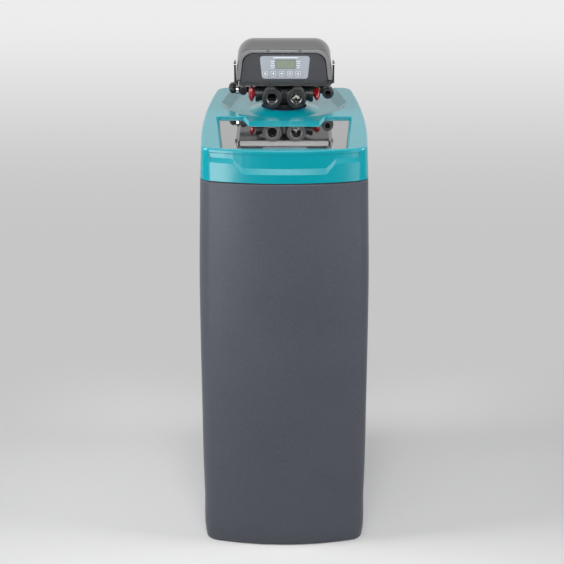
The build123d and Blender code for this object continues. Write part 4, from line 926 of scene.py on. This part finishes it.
class SOFTENER_OT_handles(bpy.types.Operator):
    """The two bypass handles and the band on one of them"""

    bl_idname = "softener.handles"
    bl_label = "Bypass handles"

    def execute(self, context):
        rise = np.sin(np.linspace(-np.pi / 2, np.pi / 2, 40))
        for side, turn, node in ((-1, 0.0, "inlet_handle"), (1, OUTLET_TURN, "outlet_handle")):
            parts = [closed_skin(at_handle(rings, side, turn)) for rings in (lens_rings(rise), hub_rings())]
            put(node + "_blade", merge(parts), "handle", node, replaces=[node], crease=50)
        self.band()
        return {"FINISHED"}

    def band(self):
        """The band: the blade's own rings, grown a little and grown more, joined round."""
        height = np.linspace(BAND_FROM, BAND_TO, 8) / REACH
        inner, outer = lens_rings(height, BAND_INSIDE), lens_rings(height, BAND_OUTSIDE)
        rings = at_handle(np.concatenate([inner, outer[::-1]]), 1, OUTLET_TURN)
        skin = rings.reshape(-1, 3), [grid_faces(*rings.shape[:2], wrap_rows=True)]
        put("outlet_handle_band_strip", skin, "brass", "outlet_handle_band", replaces=["outlet_handle_band"])


class SOFTENER_OT_fittings(bpy.types.Operator):
    """The brine, drain and overflow fittings and the brine line"""

    bl_idname = "softener.fittings"
    bl_label = "Fittings"

    def execute(self, context):
        dress("valve", "brine_elbow", "brine_elbow_nut", "drain_elbow", "drain_nut")
        dress("valve", "overflow_elbow", "overflow_nut")
        dress("spring", "brine_elbow_clip")
        dress("tube", "brine_line")
        return {"FINISHED"}


class SOFTENER_OT_drive(bpy.types.Operator):
    """The drive under the hood: gears, motor, plate and board"""

    bl_idname = "softener.drive"
    bl_label = "Drive"

    def execute(self, context):
        dress("acetal", "drive_gear")
        dress("brass", "motor_pinion")
        dress("zinc", "motor", "tray_screws")
        dress("fascia", "gear_plate", "power_inlet")
        dress("board", "circuit_board")
        return {"FINISHED"}


class SOFTENER_OT_tank(bpy.types.Operator):
    """The mineral tank with its foot, riser, strainers and resin"""

    bl_idname = "softener.tank"
    bl_label = "Mineral tank"

    def execute(self, context):
        dress("tank", "resin_tank")
        dress("valve", "tank_boot")
        dress("pvc", "riser_tube", "lower_basket", "upper_basket")
        dress("resin", "resin_bed")
        return {"FINISHED"}


class SOFTENER_OT_brine(bpy.types.Operator):
    """The brine well with its valve, float and tubes, and the salt grid"""

    bl_idname = "softener.brine"
    bl_label = "Brine side"

    def execute(self, context):
        dress("pvc", "brine_well", "brine_well_cap", "salt_grid", "grid_legs", "brine_pickup_tube")
        dress("acetal", "brine_valve", "air_check", "float_rod", "float")
        return {"FINISHED"}


# ---- the stage

SMOOTH = {"interpolation_type": "SMOOTHSTEP"}
# The sweep's profile: flat from before the camera to the bend, round it, and up. The sheet lies a
# little under the softener's feet
SWEEP_FLAT_Y = (-9000.0, -3000.0, 0.0, 800.0)
SWEEP_BEND_Y, SWEEP_R, SWEEP_TOP, SWEEP_HALF, SWEEP_GAP = 1500.0, 1600.0, 6000.0, 8000.0, 0.2
# In metres, as the camera and the lamps are
LAMPS_AIM = (0.0, 0.0, 0.9)
EYE = (0.0, -3.391, 1.805)
LOOK_DOWN = 20.74
SHIFT_PX = -2.2


def sweep_paper(tree, place):
    """Matt paper: near white under the object and greyer far before it, which is painted shade for the
    lamps' light falling off towards the camera. It is lit by the lamps on the floor, where it throws
    back less light than it shows. Behind, where it is seen or mirrored, it is a backdrop that glows with
    lamps of its own, paler with height: a painted falloff of light towards the floor."""
    parts = add_node(tree, "SeparateXYZ", links={"Vector": place}).outputs
    behind = add_node(tree, "MapRange", {"From Min": 0.1, "From Max": 0.9, **SMOOTH}, {"Value": parts["Y"]})
    # The backdrop's glow is darker low down and paler with height: painted light falling off towards the floor
    height = add_node(tree, "MapRange", {"From Max": 0.6, **SMOOTH}, {"Value": parts["Z"]})
    # The floor's shown colour greys towards the camera: painted shade for the lamps' light falling off
    near = add_node(tree, "MapRange", {"From Min": -2.6, "From Max": -0.7, **SMOOTH}, {"Value": parts["Y"]})
    painted_falloff_far_to_near = {"Color1": rgba(linear("#c4c4c4")), "Color2": rgba(linear("#f8f8f8"))}
    painted_glow_low_to_high = {"Color1": rgba(linear("#c6c6c6")), "Color2": rgba(linear("#ededed"))}
    pale = add_node(tree, "MixRGB", painted_falloff_far_to_near, {"Fac": near})
    glow = add_node(tree, "MixRGB", painted_glow_low_to_high, {"Fac": height})
    shown = is_shown(tree)
    tint = add_node(tree, "MixRGB", {"Color1": rgba(linear("#6c6c6c"))}, {"Fac": shown, "Color2": pale})
    paper = add_node(tree, "BsdfPrincipled", {"Roughness": 0.9, "Specular IOR Level": 0.1}, {"Base Color": tint})
    backdrop = add_node(tree, "Emission", links={"Color": glow})
    share = add_node(tree, "Math", {"operation": "MULTIPLY"}, {0: behind, 1: shown})
    return add_node(tree, "MixShader", links={0: share, 1: paper, 2: backdrop})


class SOFTENER_OT_stage(bpy.types.Operator):
    """Floor sweep, softboxes, surroundings and camera"""

    bl_idname = "softener.stage"
    bl_label = "Stage"

    def execute(self, context):
        settings = context.scene.softener_stage
        self.sweep()
        self.boxes(settings)
        self.surroundings(settings)
        self.camera(settings)
        context.scene.view_settings.view_transform = "Standard"
        return {"FINISHED"}

    def sweep(self):
        """A sheet flat on the floor that curves up behind: its profile is a line, a quarter circle
        and a line."""
        turn = np.linspace(0, np.pi / 2, 24)
        flat = np.zeros(len(SWEEP_FLAT_Y))
        y = np.concatenate([SWEEP_FLAT_Y, SWEEP_BEND_Y + SWEEP_R * np.append(np.sin(turn), 1)])
        z = np.concatenate([flat, SWEEP_R * (1 - np.cos(turn)), [SWEEP_TOP]]) - SWEEP_GAP
        y, x = np.meshgrid(y, np.linspace(-SWEEP_HALF, SWEEP_HALF, 9), indexing="ij")
        grid = np.stack([x, y, np.broadcast_to(z[:, None], x.shape)], axis=2)
        mesh = new_mesh("sweep", grid.reshape(-1, 3), [grid_faces(*x.shape, wrap_columns=False)])
        new_object("sweep", mesh)
        mesh.materials.append(new_material("paper_sweep_matt", sweep_paper))

    def boxes(self, settings):
        """Tall softboxes at both sides, one overhead, one with a grid over the camera, and two low
        ones whose images lie at the ends of the cover's front, each turned to the cover."""
        # Name, power, place, width and height, and the angle that the box's grid lets through
        lamps = (
            ("softbox_left", settings.key, (-2.0, -0.3, 1.75), (1.0, 1.9), 90),
            ("softbox_right", settings.key * 0.75, (2.0, -0.3, 1.75), (1.0, 1.9), 90),
            ("softbox_low_left", settings.low, (-1.12, -1.85, 0.5), (0.5, 0.9), 180),
            ("softbox_low_right", settings.low * 0.3, (1.25, -1.7, 0.5), (0.45, 0.9), 180),
            ("softbox_top", settings.top, (0.0, 0.5, 2.8), (1.3, 0.9), 180),
            ("softbox_front", settings.front, (0.0, -3.3, 2.35), (2.0, 0.8), 60),
        )
        for name, watts, place, size, spread in lamps:
            light = bpy.data.lights.new(name, "AREA")
            light.shape = "RECTANGLE"
            light.size, light.size_y = size
            light.energy = watts
            light.spread = math.radians(spread)
            lamp = new_object(name, light)
            lamp.location = place
            lamp.rotation_euler = (Vector(LAMPS_AIM) - Vector(place)).to_track_quat("-Z", "Y").to_euler()

    def surroundings(self, settings):
        """A room that lights the object evenly. Where it is seen or mirrored, it is white behind and
        above the sweep and dim below and before it, as a studio is."""
        world = bpy.data.worlds.new("room")
        bpy.context.scene.world = world
        world.use_nodes = True
        tree = world.node_tree
        tree.nodes.clear()
        way = add_node(tree, "TexCoord").outputs["Generated"]
        parts = add_node(tree, "SeparateXYZ", links={"Vector": way}).outputs
        rise = add_node(tree, "MapRange", {"From Min": -0.08, "From Max": 0.12, **SMOOTH}, {"Value": parts["Z"]})
        back = add_node(tree, "MapRange", {"From Min": -0.7, "From Max": 0.5, "To Min": 0.4}, {"Value": parts["Y"]})
        lit = add_node(tree, "Math", {"operation": "MULTIPLY"}, {0: rise, 1: back})
        seen = add_node(tree, "MapRange", {"To Min": 0.06, "To Max": 0.95}, {"Value": lit})
        strength = add_node(tree, "MapRange", {"To Min": settings.world}, {"Value": is_shown(tree), "To Max": seen})
        light = add_node(tree, "Background", {"Color": rgba(linear("#f8f9fa"))}, {"Strength": strength})
        add_node(tree, "OutputWorld", links={"Surface": light})

    def camera(self, settings):
        """The camera stands 3.4 m before the middle and 1.8 m up, and looks down at the softener."""
        camera = bpy.data.cameras.new("camera")
        camera.lens = settings.lens
        camera.sensor_width = SENSOR_MM
        camera.clip_end = 60
        camera.shift_x = SHIFT_PX / PHOTO_SIDE
        eye = new_object("camera", camera)
        eye.location = EYE
        eye.rotation_euler = (math.radians(90 - LOOK_DOWN), 0, 0)
        bpy.context.scene.camera = eye


# ---- the add-on

PIECES = (
    SOFTENER_OT_cabinet, SOFTENER_OT_cover, SOFTENER_OT_lid, SOFTENER_OT_head, SOFTENER_OT_panel,
    SOFTENER_OT_valve, SOFTENER_OT_handles, SOFTENER_OT_fittings, SOFTENER_OT_drive, SOFTENER_OT_tank,
    SOFTENER_OT_brine, SOFTENER_OT_stage,
)
GROUPS = (
    ("softener_colours", SoftenerColours),
    ("softener_sizes", SoftenerSizes),
    ("softener_stage", SoftenerStage),
)


class SOFTENER_PT_sidebar(bpy.types.Panel):
    """The pieces and their settings"""

    bl_idname = "SOFTENER_PT_sidebar"
    bl_label = "Water softener"
    bl_space_type = "VIEW_3D"
    bl_region_type = "UI"
    bl_category = "Softener"

    def draw(self, context):
        for name, group in GROUPS:
            box = self.layout.box()
            for setting in group.__annotations__:
                box.prop(getattr(context.scene, name), setting)
        for piece in PIECES:
            self.layout.operator(piece.bl_idname)


def register():
    """Registers the settings, the pieces and the panel."""
    for name, group in GROUPS:
        bpy.utils.register_class(group)
        setattr(bpy.types.Scene, name, PointerProperty(type=group))
    for piece in (*PIECES, SOFTENER_PT_sidebar):
        bpy.utils.register_class(piece)


def unregister():
    """Takes them away again."""
    for piece in (SOFTENER_PT_sidebar, *reversed(PIECES)):
        bpy.utils.unregister_class(piece)
    for name, group in reversed(GROUPS):
        delattr(bpy.types.Scene, name)
        bpy.utils.unregister_class(group)


def main():
    """Registers the add-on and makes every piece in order."""
    register()
    for piece in PIECES:
        area, name = piece.bl_idname.split(".")
        getattr(getattr(bpy.ops, area), name)()


if __name__ == "__main__":
    main()
